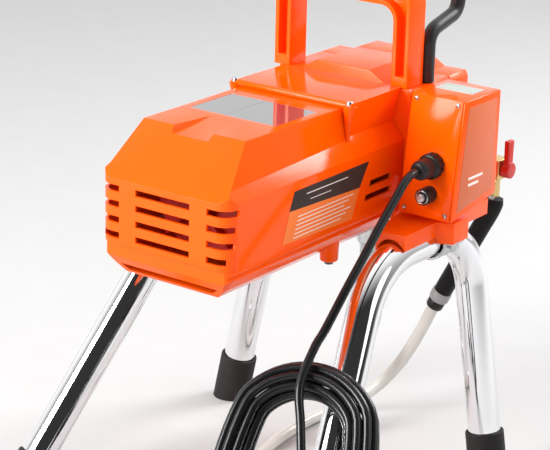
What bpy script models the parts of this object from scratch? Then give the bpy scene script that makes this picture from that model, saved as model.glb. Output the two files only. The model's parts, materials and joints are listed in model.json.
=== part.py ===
"""Airless paint sprayer: an electric motor drives a piston pump through two pairs of gears.

Units are metres. X runs across the machine, Y from the vented nose to the pump, Z is up.
Every piece hangs on the empty "machine", whose origin lies on the floor under the nose, so
places are written as (across, back from the nose, height).
"""
import math

import bmesh
import bpy
from mathutils import Vector

# Fits
GAP = 0.0003                # between pieces that touch
RUN = 0.0005                # round a turning shaft
SLIDE = 0.0006              # round a sliding rod

# Orange shroud
SHROUD_LENGTH = 0.2685
SHROUD_WALL = 0.0028
BELT_HALF = 0.0725          # half width at the belt, the widest band
BELT_LOW = 0.280
BELT_HIGH = 0.340
SHOULDER_HALF = 0.067
SHOULDER_Z = 0.351
REAR_TOP_HALF = 0.0555
REAR_TOP_Z = 0.385
FACET_DEPTH = 0.043         # length of the sloping upper face of the nose
NOSE_CORNER = 0.015
RIDGE_Y = 0.185             # start of the raised front part
RIDGE_HALF = 0.068
RIDGE_Z = 0.391
WAIST_HALF = 0.060
WAIST_Z = 0.356
VENT_HEIGHT = 0.006
VENT_PITCH = 0.0143
VENT_TOP_Z = 0.331          # middle of the top row
VENT_ROWS = 4
VENT_HALF = 0.030
VENT_GROUP_X = 0.0485       # start of the two outer groups
SIDE_SLOT_Z = (0.3065, 0.294)
SIDE_SLOT_Y = (0.208, 0.249)
SIDE_SLOT_HEIGHT = 0.006

# Bottom cover
COVER_LOW = 0.250
COVER_HALF = 0.051
BOSS_X = 0.055
BOSS_Y = 0.176
BOSS_RADIUS = 0.0085
BOSS_DROP = 0.009
SCREW_RADIUS = 0.002
SCREW_HEAD_RADIUS = 0.0042
SCREW_HEAD_HEIGHT = 0.0028
SCREW_LENGTH = 0.014

# Motor
MOTOR_Z = 0.316
CAN_RADIUS = 0.052
CAN_WALL = 0.0025
CAN_START = 0.106
CAN_LENGTH = 0.130
BELL_LENGTH = 0.014
SHAFT_RADIUS = 0.006
SHAFT_START = 0.046
CORE_RADIUS = 0.0300
AIR_GAP = 0.0012
CORE_LENGTH = 0.094
FAN_RADIUS = 0.050
FAN_START = 0.047
FAN_LENGTH = 0.013
FAN_BLADES = 8

# Gear train, numbered from the motor
FINE_MODULE = 0.001
PINION_TEETH = 12
WHEEL_TEETH = 60
COARSE_MODULE = 0.0015
SECOND_PINION_TEETH = 14
CRANK_GEAR_TEETH = 44
ADDENDUM = 0.8
DEDENDUM = 1.2
ROOT_SHARE = 0.29           # half tooth width at the root, as a share of the pitch
TIP_SHARE = 0.10
FINE_GEAR_START = 0.284
FINE_GEAR_WIDTH = 0.010
COARSE_GEAR_START = 0.298
COARSE_GEAR_WIDTH = 0.014
IDLER_RADIUS = 0.005

# Gear housing and its covers
HOUSING_START = SHROUD_LENGTH + 0.0005
HOUSING_END = 0.340
HOUSING_HALF = 0.077
HOUSING_LOW = 0.258
SEAT_Z = 0.388              # flat shoulder that carries the handle
SEAT_INNER = 0.050
CROWN_Z = 0.400
HOUSING_WALL = 0.007
REAR_WALL = 0.010
PLATE_START = 0.318
PLATE_THICK = 0.008
FRONT_END = 0.372
CHAMBER_HALF = 0.0235
CHAMBER_LOW = 0.264
CHAMBER_HIGH = 0.388
CHAMBER_END = 0.364

# Crank and pump
CRANK_X = -0.010
CRANK_Z = 0.346
CRANK_RADIUS = 0.009
BEARING_OUTER = 0.016
BEARING_WIDTH = 0.0097
POCKET_DEPTH = 0.006
DISC_RADIUS = 0.018
DISC_START = 0.3285
DISC_THICK = 0.0075
THROW = 0.008
PIN_RADIUS = 0.006
PIN_END = 0.360
ROD_START = 0.347
ROD_THICK = 0.010
EYE_WALL = 0.0045
PISTON_RADIUS = 0.008
PISTON_HEAD_RADIUS = 0.0125
PISTON_HEAD_Z = 0.205
PISTON_HEAD_LENGTH = 0.012
PUMP_Y = ROD_START + ROD_THICK / 2
CYLINDER_RADIUS = 0.018
CYLINDER_TOP = 0.244
CYLINDER_STEP = 0.200
CYLINDER_FOOT_RADIUS = 0.0145
CYLINDER_LOW = 0.165
BARREL_WALL = 0.0048
NUT_RADIUS = 0.016
NUT_HEIGHT = 0.0127
YOKE_HALF = 0.026
YOKE_DEPTH = (0.328, 0.376)
YOKE_LOW = 0.234
YOKE_TOP = HOUSING_LOW - 0.0005
INLET_RADIUS = 0.0125
INLET_LENGTH = 0.028
BALL_RADIUS = 0.0070
BALL_LIFT = 0.0025
SEAT_RADIUS = 0.0056
SEAT_HEIGHT = 0.010

# Fluid section in front of the pump
FLUID_Y = (0.3765, 0.406)
FLUID_X = (-0.036, 0.081)
FLUID_Z = (0.2365, 0.268)
FILTER_X = 0.066
FILTER_RADIUS = 0.0142
FILTER_HEIGHT = 0.054
OUTLET_RADIUS = 0.009
OUTLET_LENGTH = 0.028
VALVE_X = (0.0808, 0.112)
VALVE_HALF = 0.010
VALVE_Z = 0.290
BARB_X = 0.104
BARB_RADIUS = 0.0045
BARB_LOW = 0.2605
PRIME_HUB_RADIUS = 0.008
PRIME_LEVER = 0.030
SIPHON_RADIUS = 0.011
SIPHON_BORE = 0.009
STRAINER_RADIUS = 0.0135
STRAINER_LENGTH = 0.026

# Stand
TUBE_RADIUS = 0.016
TUBE_BORE = 0.0145
TUBE_X = 0.1135
TUBE_Z = 0.254
REAR_BEND_Y = 0.162
FRONT_BEND_Y = 0.322
REAR_BEND_RADIUS = 0.100
FRONT_BEND_RADIUS = 0.060
REAR_FOOT = Vector((0.1671, -0.0185, 0.0))
FRONT_FOOT = Vector((0.1601, 0.3137, 0.0))
FOOT_RADIUS = 0.019
FOOT_HEIGHT = 0.049
FOOT_SOLE = 0.018
SADDLE_OUTER = 0.128
SADDLE_EAR = 0.143
SADDLE_LOW = 0.256
SADDLE_THICK = 0.0205
SADDLE_REAR = 0.190
CLAMP_Y = (0.252, 0.272)
CLAMP_RADIUS = 0.0178
CLAMP_THICK = 0.0024
CLAMP_REACH = 0.0285

# Carry handle and hose hook
HANDLE_X = -0.004           # middle of the handle
HANDLE_OUTER = 0.0765
HANDLE_INNER = 0.0585
HANDLE_TOP = 0.488
GRIP_THICK = 0.024
HANDLE_Y = (0.269, 0.296)
HOOK_RADIUS = 0.007
HOOK_X = 0.071
HOOK_Y = 0.308

# Control box
BOX_X = (0.093, 0.1475)
BOX_LID = 0.0024
BOX_WALL = 0.0025
BOX_TOP = 0.394
BOX_REAR_TOP_Y = 0.247
BOX_REAR_LOW_Y = 0.232
BOX_FRONT_Y = 0.309
BOX_REAR_LOW_Z = 0.283
BOX_FRONT_LOW_Z = 0.294
ARM_Y = (0.276, 0.309)
ARM_LOW = 0.300
GLAND_X = 0.124
GLAND_Z = 0.332
GLAND_TIP_Y = 0.211
GLAND_RADIUS = 0.0093
COLLAR_RADIUS = 0.012
BREAKER_Z = 0.305
BREAKER_RADIUS = 0.0078
BUTTON_RADIUS = 0.0045
BUTTON_TRAVEL = 0.003
KNOB_X = 0.120
KNOB_Z = 0.366
KNOB_RADIUS = 0.0165
KNOB_DEPTH = 0.017
SPINDLE_RADIUS = 0.003
ROCKER_Z = 0.325
ROCKER_HALF = (0.009, 0.012)
ROCKER_THICK = 0.010
ROCKER_TILT = math.radians(8)
BOARD_THICK = 0.0016

# Cord and drain hose
CORD_RADIUS = 0.004
COIL_WIDTH = 0.150
COIL_LENGTH = 0.234
COIL_THICK = 0.034
COIL_CLEAR = 0.0385         # from the leg's middle to the coil's middle plane
COIL_SHIFT = -0.019         # sideways from the leg, towards the machine
PLUG_RADIUS = 0.0150
DRAIN_RADIUS = 0.00625
SLEEVE_RADIUS = 0.0095
TIP_RADIUS = 0.0075
TIP_LENGTH = 0.028
LEAD_ROUTE = (
    (0.1240, 0.2098, 0.3320), (0.1240, 0.2040, 0.3320), (0.1243, 0.1910, 0.3272),
    (0.1250, 0.1763, 0.3160), (0.1260, 0.1475, 0.2935), (0.1270, 0.1225, 0.2725),
    (0.1272, 0.1000, 0.2530), (0.1265, 0.0840, 0.2365), (0.1255, 0.0717, 0.2205),
    (0.1248, 0.0640, 0.2080), (0.1243, 0.0595, 0.1970),
)
TAIL_ROUTE = (
    (0.1140, -0.0750, 0.0180), (0.1000, -0.0810, 0.0120), (0.0880, -0.0850, 0.0062),
    (0.0740, -0.0880, 0.0045), (0.0620, -0.0885, 0.0080), (0.0510, -0.0873, 0.0148),
    (0.0300, -0.0870, 0.0152),
)
SLEEVE_ROUTE = (
    (0.1040, 0.3912, 0.2583), (0.1038, 0.3911, 0.2540), (0.1005, 0.3902, 0.2445),
    (0.0900, 0.3885, 0.2230), (0.0700, 0.3870, 0.1830), (0.0520, 0.3855, 0.1465),
)
DRAIN_ROUTE = (
    (0.0518, 0.3855, 0.1461), (0.0425, 0.3850, 0.1275), (0.0330, 0.3845, 0.1060),
    (0.0225, 0.3830, 0.0840), (0.0080, 0.3800, 0.0580), (-0.0090, 0.3740, 0.0345),
    (-0.0260, 0.3630, 0.0170), (-0.0390, 0.3470, 0.0085), (-0.0455, 0.3280, 0.0066),
    (-0.0480, 0.3050, 0.0066), (-0.0480, 0.2750, 0.0066), (-0.0450, 0.2400, 0.0066),
    (-0.0400, 0.2100, 0.0066), (-0.0350, 0.1850, 0.0066),
)
SIPHON_ROUTE = (
    (-0.010, 0.3520, 0.1361), (-0.010, 0.3520, 0.1220), (-0.010, 0.3460, 0.1070),
    (-0.010, 0.3350, 0.0900), (-0.010, 0.3200, 0.0720), (-0.010, 0.3060, 0.0580),
    (-0.010, 0.3000, 0.0480), (-0.010, 0.3000, 0.0340),
)

# The machine is centred on its own footprint
FOOT_LEAN = Vector((REAR_FOOT.x - TUBE_X, REAR_FOOT.y - REAR_BEND_Y, REAR_FOOT.z - TUBE_Z))
FOOT_STRETCH = FOOT_RADIUS * (FOOT_LEAN.length / abs(FOOT_LEAN.z) - 1)
FOOT_SHARE = FOOT_LEAN.y ** 2 / (FOOT_LEAN.x ** 2 + FOOT_LEAN.y ** 2)
REARMOST = REAR_FOOT.y - FOOT_RADIUS - FOOT_STRETCH * FOOT_SHARE
NOSE_Y = -(REARMOST + FLUID_Y[1]) / 2

# Colour, roughness and metallic value of each finish
FINISHES = {
    "orange": ((0.86, 0.13, 0.004), 0.22, 0.0),
    "orange_cast": ((0.85, 0.17, 0.006), 0.35, 0.0),
    "chrome": ((0.80, 0.81, 0.83), 0.08, 1.0),
    "rubber": ((0.035, 0.035, 0.036), 0.75, 0.0),
    "black": ((0.02, 0.02, 0.021), 0.35, 0.0),
    "steel": ((0.55, 0.56, 0.58), 0.30, 1.0),
    "dark_steel": ((0.20, 0.20, 0.21), 0.45, 1.0),
    "aluminium": ((0.72, 0.73, 0.74), 0.40, 1.0),
    "brass": ((0.72, 0.50, 0.20), 0.30, 1.0),
    "red": ((0.60, 0.02, 0.01), 0.40, 0.0),
    "copper": ((0.70, 0.32, 0.16), 0.40, 1.0),
    "green": ((0.04, 0.22, 0.08), 0.50, 0.0),
    "hose": ((0.80, 0.78, 0.74), 0.30, 0.0),
}


def clear_scene():
    for obj in list(bpy.data.objects):
        bpy.data.objects.remove(obj)


def material(name, finish):
    color, roughness, metallic = FINISHES[finish]
    made = bpy.data.materials.new(name)
    made.use_nodes = True
    shader = made.node_tree.nodes["Principled BSDF"]
    shader.inputs["Base Color"].default_value = (*color, 1)
    shader.inputs["Roughness"].default_value = roughness
    shader.inputs["Metallic"].default_value = metallic
    made.diffuse_color = (*color, 1)
    return made


def hang(obj, place):
    bpy.context.scene.collection.objects.link(obj)
    obj.parent = bpy.data.objects["machine"]
    obj.location = place
    return obj


def mesh_object(name, bm, place):
    bmesh.ops.recalc_face_normals(bm, faces=bm.faces)
    mesh = bpy.data.meshes.new(name)
    bm.to_mesh(mesh)
    bm.free()
    return hang(bpy.data.objects.new(name, mesh), place)


def piece(name, finish, bm, place=(0, 0, 0)):
    """One named sub-part with its own material."""
    obj = mesh_object(name, bm, place)
    obj.data.shade_smooth()
    obj.data.set_sharp_from_angle(angle=math.radians(35))
    obj.data.materials.append(material(name, finish))
    return obj


def combine(obj, bm, operation, place):
    """Adds or removes another shape by a Boolean."""
    other = mesh_object(f"{obj.name}_{operation.lower()}", bm, place)
    other.hide_render = True
    other.display_type = "WIRE"
    modifier = obj.modifiers.new(operation.title(), "BOOLEAN")
    modifier.operation = operation
    modifier.solver = "EXACT"
    modifier.object = other


def cut(obj, bm, place=(0, 0, 0)):
    combine(obj, bm, "DIFFERENCE", place)


def add(obj, bm, place=(0, 0, 0)):
    combine(obj, bm, "UNION", place)


def keep(obj, bm, place=(0, 0, 0)):
    combine(obj, bm, "INTERSECT", place)


def spot(axis, u, v, along):
    """Point with plane coordinates u and v, at a height along the axis."""
    if axis == "X":
        return Vector((along, u, v))
    if axis == "Y":
        return Vector((u, along, v))
    return Vector((u, v, along))


def skin(bm, rings, hollow=False):
    """Closed surface through rings of equally many points, capped or joined end to end."""
    loops = [[bm.verts.new(point) for point in ring] for ring in rings]
    pairs = list(zip(loops, loops[1:]))
    if hollow:
        pairs.append((loops[-1], loops[0]))
    for lower, upper in pairs:
        for i in range(len(lower)):
            j = (i + 1) % len(lower)
            bm.faces.new((lower[i], lower[j], upper[j], upper[i]))
    if not hollow:
        bm.faces.new(loops[0])
        bm.faces.new(loops[-1])
    return bm


def prism(axis, outline, low, high, bm=None):
    """An outline in the plane across the axis, extruded along it."""
    rings = [[spot(axis, u, v, along) for u, v in outline] for along in (low, high)]
    return skin(bm or bmesh.new(), rings)


def block(low, high, bm=None):
    outline = ((low[0], low[1]), (high[0], low[1]), (high[0], high[1]), (low[0], high[1]))
    return prism("Z", outline, low[2], high[2], bm)


def turned(axis, profile, hollow=False, steps=20, bm=None, centre=(0, 0, 0)):
    """A profile of (radius, place along the axis) turned about the axis."""
    turns = [2 * math.pi * (k + 0.5) / steps for k in range(steps)]
    rings = []
    for radius, along in profile:
        ring = [spot(axis, radius * math.cos(a), radius * math.sin(a), along) for a in turns]
        rings.append([point + Vector(centre) for point in ring])
    return skin(bm or bmesh.new(), rings, hollow)


def rod(axis, radius, low, high, steps=20, bm=None, centre=(0, 0, 0)):
    return turned(axis, ((radius, low), (radius, high)), False, steps, bm, centre)


def ring(axis, outer, inner, low, high, steps=20):
    profile = ((outer, low), (outer, high), (inner, high), (inner, low))
    return turned(axis, profile, True, steps)


def arc(centre, radius, start, end, steps):
    """Points of an arc in a plane, both ends included, with angles in degrees."""
    angles = [math.radians(start + (end - start) * k / steps) for k in range(steps + 1)]
    return [(centre[0] + radius * math.cos(a), centre[1] + radius * math.sin(a)) for a in angles]


def bend(before, corner, after, radius, steps):
    """Points of the arc that rounds one corner of a route."""
    arriving = (corner - before).normalized()
    leaving = (after - corner).normalized()
    turn = arriving.angle(leaving)
    start = corner - arriving * radius * math.tan(turn / 2)
    inward = (leaving - arriving * math.cos(turn)) / math.sin(turn)
    points = []
    for k in range(steps + 1):
        angle = turn * k / steps
        points.append(start + radius * (arriving * math.sin(angle) + inward * (1 - math.cos(angle))))
    return points


def smooth(route, spacing):
    """Evenly spaced points on a Catmull-Rom curve through the route."""
    knots = [Vector(point) for point in route]
    knots = [2 * knots[0] - knots[1]] + knots + [2 * knots[-1] - knots[-2]]
    dense = []
    for a, b, c, d in zip(knots, knots[1:], knots[2:], knots[3:]):
        for k in range(12):
            t = k / 12
            dense.append(
                0.5 * (2 * b + (c - a) * t + (2 * a - 5 * b + 4 * c - d) * t ** 2
                       + (3 * b - a - 3 * c + d) * t ** 3))
    dense.append(knots[-2])
    length = sum((q - p).length for p, q in zip(dense, dense[1:]))
    count = max(2, round(length / spacing))
    points, done, wanted = [dense[0]], 0.0, 1
    for p, q in zip(dense, dense[1:]):
        step = (q - p).length
        while wanted < count and done + step >= length * wanted / count:
            points.append(p.lerp(q, (length * wanted / count - done) / step))
            wanted += 1
        done += step
    points.append(dense[-1])
    return points


def directions(path, closed):
    count = len(path)
    found = []
    for i in range(count):
        before = path[i - 1] if closed or i else path[0]
        after = path[(i + 1) % count] if closed or i < count - 1 else path[-1]
        found.append((after - before).normalized())
    return found


def sweep(path, radii, sides, side_hint, closed=False):
    """A round tube along a path. Two radii make it hollow."""
    tangents = directions(path, closed)
    shells = []
    for radius in radii:
        rings = []
        for point, tangent in zip(path, tangents):
            across = tangent.cross(side_hint).normalized()
            other = tangent.cross(across)
            turns = [2 * math.pi * k / sides for k in range(sides)]
            rings.append([point + radius * (across * math.cos(a) + other * math.sin(a)) for a in turns])
        shells.append(rings)
    if len(radii) == 2:
        return skin(bmesh.new(), shells[0] + shells[1][::-1], True)
    return skin(bmesh.new(), shells[0], closed)


def cable(name, finish, route, radius, spacing, resolution=2):
    """A free cord or hose as a bevelled curve with filled ends."""
    points = smooth(route, spacing)
    curve = bpy.data.curves.new(name, "CURVE")
    curve.dimensions = "3D"
    curve.bevel_depth = radius
    curve.bevel_resolution = resolution
    curve.use_fill_caps = True
    spline = curve.splines.new("POLY")
    spline.points.add(len(points) - 1)
    for knot, point in zip(spline.points, points):
        knot.co = (*point, 1)
    curve.materials.append(material(name, finish))
    return hang(bpy.data.objects.new(name, curve), (0, 0, 0))


def mirrored(outline):
    """An outline completed by its own reflection in X."""
    return list(outline) + [(-x, z) for x, z in reversed(outline)]


def shroud_section(top_half, top_z, mid_half, mid_z, inset, low):
    """Right half of a cross-section, from the bottom edge to the top edge."""
    return (
        (BELT_HALF - inset, low), (BELT_HALF - inset, BELT_HIGH - inset),
        (mid_half - inset, mid_z - inset), (top_half - inset, top_z - inset))


def shroud_block(name, inset, low, end):
    """The shroud's outer shape, or its inside when there is an inset."""
    rear = shroud_section(REAR_TOP_HALF, REAR_TOP_Z, SHOULDER_HALF, SHOULDER_Z, inset, low)
    front = shroud_section(RIDGE_HALF, RIDGE_Z, WAIST_HALF, WAIST_Z, inset, low)
    shape = mesh_object(name, prism("Y", mirrored(rear), inset, RIDGE_Y + 0.010), (0, 0, 0))
    slope = (
        (inset, low - 0.01), (inset, BELT_HIGH - inset),
        (FACET_DEPTH + inset, REAR_TOP_Z - inset),
        (RIDGE_Y + 0.02, REAR_TOP_Z - inset), (RIDGE_Y + 0.02, low - 0.01))
    keep(shape, prism("X", slope, -0.1, 0.1))
    round_nose = NOSE_CORNER - inset
    half = BELT_HALF - inset
    plan = [(half, RIDGE_Y + 0.02)]
    plan += arc((half - round_nose, inset + round_nose), round_nose, 0, -90, 4)
    keep(shape, prism("Z", mirrored(plan), low - 0.02, 0.42))
    add(shape, prism("Y", mirrored(front), RIDGE_Y + inset, end))
    return shape


def make_shroud():
    shroud = shroud_block("shroud", 0, BELT_LOW, SHROUD_LENGTH)
    inside = shroud_block("shroud_inside", SHROUD_WALL, BELT_LOW - 0.01, SHROUD_LENGTH + 0.01)
    inside.hide_render = True
    inside.display_type = "WIRE"
    hollow = shroud.modifiers.new("Hollow", "BOOLEAN")
    hollow.operation = "DIFFERENCE"
    hollow.solver = "EXACT"
    hollow.object = inside
    vents = bmesh.new()
    outside = BELT_HALF + 0.01
    for row in range(VENT_ROWS):
        z = VENT_TOP_Z - row * VENT_PITCH
        low, high = z - VENT_HEIGHT / 2, z + VENT_HEIGHT / 2
        block((-VENT_HALF, -0.01, low), (VENT_HALF, SHROUD_WALL * 2, high), vents)
        reach = BELT_HALF - NOSE_CORNER / 3 if row == VENT_ROWS - 1 else outside
        depth = NOSE_CORNER - 0.002 * row
        for side in (-1, 1):
            near, far = sorted((side * VENT_GROUP_X, side * reach))
            block((near, -0.01, low), (far, depth, high), vents)
    for z in SIDE_SLOT_Z:
        low, high = z - SIDE_SLOT_HEIGHT / 2, z + SIDE_SLOT_HEIGHT / 2
        for side in (-1, 1):
            near, far = sorted((side * (BELT_HALF - 0.01), side * outside))
            block((near, SIDE_SLOT_Y[0], low), (far, SIDE_SLOT_Y[1], high), vents)
    cut(shroud, vents)
    shroud.data.materials.append(material("shroud", "orange"))


def make_bottom_cover():
    high = BELT_LOW - GAP
    end = SHROUD_LENGTH - GAP
    outline = ((COVER_HALF, COVER_LOW), (COVER_HALF + 0.012, COVER_LOW + 0.012),
               (BELT_HALF - 0.003, high - 0.005), (BELT_HALF - 0.003, high))
    cover = piece("bottom_cover", "orange", prism("Y", mirrored(outline), 0.006, end))
    for side in (-1, 1):
        add(cover, rod("Z", BOSS_RADIUS, COVER_LOW - BOSS_DROP, COVER_LOW + 0.012, 16,
                       centre=(side * BOSS_X, BOSS_Y, 0)))
    wall = SHROUD_WALL
    inner = ((COVER_HALF - wall, COVER_LOW + wall), (COVER_HALF + 0.012 - wall, COVER_LOW + 0.012),
             (BELT_HALF - 0.003 - wall, high - 0.005), (BELT_HALF - 0.003 - wall, high + 0.01))
    cut(cover, prism("Y", mirrored(inner), 0.006 + wall, end + 0.01))
    for side in (-1, 1):
        centre = (side * BOSS_X, BOSS_Y, 0)
        bore = ((SCREW_RADIUS + GAP, COVER_LOW - BOSS_DROP - 0.01),
                (SCREW_RADIUS + GAP, COVER_LOW + 0.03))
        cut(cover, turned("Z", bore, steps=12, centre=centre))
        name = "cover_screw_right" if side > 0 else "cover_screw_left"
        under = COVER_LOW - BOSS_DROP - GAP
        profile = ((SCREW_HEAD_RADIUS, under - SCREW_HEAD_HEIGHT), (SCREW_HEAD_RADIUS, under),
                   (SCREW_RADIUS, under), (SCREW_RADIUS, under + SCREW_LENGTH))
        piece(name, "dark_steel", turned("Z", profile, steps=12), centre)


def make_motor():
    place = (0, 0, MOTOR_Z)
    can_end = CAN_START + CAN_LENGTH
    hub = SHAFT_RADIUS + 0.009
    bore = SHAFT_RADIUS + RUN
    inner = CAN_RADIUS - CAN_WALL
    piece("motor_can", "dark_steel",
          ring("Y", CAN_RADIUS, inner, CAN_START, can_end, 28), place)
    core_start = CAN_START + (CAN_LENGTH - CORE_LENGTH) / 2
    piece("stator", "copper",
          ring("Y", inner - GAP, CORE_RADIUS + AIR_GAP, core_start, core_start + CORE_LENGTH, 28),
          place)
    rear_start = CAN_START - GAP - BELL_LENGTH
    rear = ((CAN_RADIUS, rear_start), (CAN_RADIUS, CAN_START - GAP), (inner, CAN_START - GAP),
            (inner, rear_start + 0.006), (hub, rear_start + 0.006), (hub, CAN_START - GAP),
            (bore, CAN_START - GAP), (bore, rear_start))
    piece("rear_end_bell", "aluminium", turned("Y", rear, True, 28), place)
    front_end = HOUSING_START - GAP
    front = ((CAN_RADIUS, can_end + GAP), (CAN_RADIUS, front_end), (bore, front_end),
             (bore, can_end + GAP), (hub, can_end + GAP), (hub, front_end - 0.008),
             (inner, front_end - 0.008), (inner, can_end + GAP))
    piece("front_end_bell", "aluminium", turned("Y", front, True, 28), place)
    shaft = piece("rotor_shaft", "steel",
                  rod("Y", SHAFT_RADIUS, SHAFT_START, FINE_GEAR_START), place)
    teeth = gear_outline(PINION_TEETH, FINE_MODULE, heading(MOTOR, IDLER))
    add(shaft, prism("Y", teeth, FINE_GEAR_START - 0.001, FINE_GEAR_START + FINE_GEAR_WIDTH), place)
    piece("rotor_core", "dark_steel",
          ring("Y", CORE_RADIUS, SHAFT_RADIUS + GAP, core_start, core_start + CORE_LENGTH), place)
    make_fan(place)


def make_fan(place):
    hub = SHAFT_RADIUS + 0.008
    end = FAN_START + FAN_LENGTH
    disc = end - 0.003
    profile = ((hub, FAN_START), (hub, disc), (FAN_RADIUS, disc), (FAN_RADIUS, end),
               (SHAFT_RADIUS + GAP, end), (SHAFT_RADIUS + GAP, FAN_START))
    fan = piece("cooling_fan", "red", turned("Y", profile, True), place)
    blades = bmesh.new()
    for k in range(FAN_BLADES):
        turn = 2 * math.pi * k / FAN_BLADES
        out = Vector((math.cos(turn), math.sin(turn)))
        side = Vector((-out.y, out.x)) * 0.0012
        near, far = out * (hub - 0.001), out * (FAN_RADIUS - 0.001)
        corners = [near - side, far - side, far + side, near + side]
        prism("Y", [tuple(corner) for corner in corners], FAN_START + 0.001, disc + 0.001, blades)
    add(fan, blades, place)


def gear_outline(teeth, module, phase):
    """A spur gear with straight-flanked teeth, one of them centred at the phase."""
    pitch = 2 * math.pi / teeth
    low = module * (teeth / 2 - DEDENDUM)
    tip = module * (teeth / 2 + ADDENDUM)
    flank = ((-ROOT_SHARE, low), (-TIP_SHARE, tip), (TIP_SHARE, tip), (ROOT_SHARE, low))
    outline = []
    for tooth in range(teeth):
        for share, radius in flank:
            angle = phase + (tooth + share) * pitch
            outline.append((radius * math.cos(angle), radius * math.sin(angle)))
    return outline


def heading(origin, target):
    return math.atan2(target[1] - origin[1], target[0] - origin[0])


def idler_centre(motor, crank):
    """Where the intermediate shaft meshes with both the motor pinion and the crank gear."""
    first = FINE_MODULE * (PINION_TEETH + WHEEL_TEETH) / 2
    second = COARSE_MODULE * (SECOND_PINION_TEETH + CRANK_GEAR_TEETH) / 2
    line = Vector(crank) - Vector(motor)
    along = (first ** 2 - second ** 2 + line.length_squared) / (2 * line.length)
    out = math.sqrt(first ** 2 - along ** 2)
    unit = line.normalized()
    return tuple(Vector(motor) + along * unit + out * Vector((unit.y, -unit.x)))


MOTOR = (0.0, MOTOR_Z)
CRANK = (CRANK_X, CRANK_Z)
IDLER = idler_centre(MOTOR, CRANK)


def make_gears():
    idler_place = (IDLER[0], 0, IDLER[1])
    crank_place = (CRANK_X, 0, CRANK_Z)
    fine_end = FINE_GEAR_START + FINE_GEAR_WIDTH
    coarse_end = COARSE_GEAR_START + COARSE_GEAR_WIDTH
    pocket = HOUSING_START + REAR_WALL - POCKET_DEPTH
    shaft = piece("idler_shaft", "steel",
                  rod("Y", IDLER_RADIUS, pocket + GAP, PLATE_START + PLATE_THICK - GAP),
                  idler_place)
    pinion = gear_outline(SECOND_PINION_TEETH, COARSE_MODULE, heading(IDLER, CRANK))
    add(shaft, prism("Y", pinion, COARSE_GEAR_START, coarse_end), idler_place)
    half_pitch = math.pi / WHEEL_TEETH
    outline = gear_outline(WHEEL_TEETH, FINE_MODULE, heading(IDLER, MOTOR) + half_pitch)
    wheel = piece("idler_gear", "steel", prism("Y", outline, FINE_GEAR_START, fine_end), idler_place)
    cut(wheel, rod("Y", IDLER_RADIUS + GAP, FINE_GEAR_START - 0.01, fine_end + 0.01), idler_place)
    half_pitch = math.pi / CRANK_GEAR_TEETH
    outline = gear_outline(CRANK_GEAR_TEETH, COARSE_MODULE, heading(CRANK, IDLER) + half_pitch)
    gear = piece("crank_gear", "steel",
                 prism("Y", outline, COARSE_GEAR_START, coarse_end), crank_place)
    cut(gear, rod("Y", CRANK_RADIUS + GAP, COARSE_GEAR_START - 0.01, coarse_end + 0.01), crank_place)
    crank = piece("crankshaft", "steel", turned("Y", (
        (CRANK_RADIUS, pocket + GAP), (CRANK_RADIUS, DISC_START),
        (DISC_RADIUS, DISC_START), (DISC_RADIUS, DISC_START + DISC_THICK))), crank_place)
    add(crank, rod("Y", PIN_RADIUS, DISC_START + 0.002, PIN_END, centre=(THROW, 0, 0)), crank_place)
    for name, start in (("crank_bearing_rear", pocket + GAP), ("crank_bearing_front", PLATE_START)):
        width = BEARING_WIDTH if name.endswith("rear") else PLATE_THICK
        piece(name, "steel",
              ring("Y", BEARING_OUTER, CRANK_RADIUS + RUN, start, start + width), crank_place)


def housing_outline(inset=0.0):
    """Front view of the gear housing, which its front cover and bearing plate share."""
    right = (
        (HOUSING_HALF - 0.014 - inset / 2, HOUSING_LOW + inset),
        (HOUSING_HALF - inset, HOUSING_LOW + 0.014 + inset / 2),
        (HOUSING_HALF - inset, SEAT_Z - 0.005 - inset / 2),
        (HOUSING_HALF - 0.003 - inset / 2, SEAT_Z - inset),
        (SEAT_INNER, SEAT_Z - inset), (0.030, CROWN_Z - inset))
    return mirrored(right)


def make_housing():
    housing = piece("gear_housing", "orange_cast",
                    prism("Y", housing_outline(), HOUSING_START, HOUSING_END))
    add(housing, block((HOUSING_HALF - 0.004, ARM_Y[0], ARM_LOW),
                       (BOX_X[0] - GAP, ARM_Y[1], SEAT_Z)))
    wall_end = HOUSING_START + REAR_WALL
    cut(housing, prism("Y", housing_outline(HOUSING_WALL), wall_end, HOUSING_END + 0.01))
    cut(housing, rod("Y", SHAFT_RADIUS + RUN, HOUSING_START - 0.01, wall_end + 0.01), (0, 0, MOTOR_Z))
    pocket = wall_end - POCKET_DEPTH
    cut(housing, rod("Y", IDLER_RADIUS + RUN, pocket, wall_end + 0.01), (IDLER[0], 0, IDLER[1]))
    cut(housing, rod("Y", BEARING_OUTER + GAP, pocket, wall_end + 0.01), (CRANK_X, 0, CRANK_Z))
    plate_end = PLATE_START + PLATE_THICK
    plate = piece("bearing_plate", "aluminium",
                  prism("Y", housing_outline(HOUSING_WALL + GAP), PLATE_START, plate_end))
    cut(plate, rod("Y", IDLER_RADIUS + RUN, PLATE_START - 0.01, plate_end + 0.01),
        (IDLER[0], 0, IDLER[1]))
    cut(plate, rod("Y", BEARING_OUTER + GAP, PLATE_START - 0.01, plate_end + 0.01),
        (CRANK_X, 0, CRANK_Z))


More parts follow.
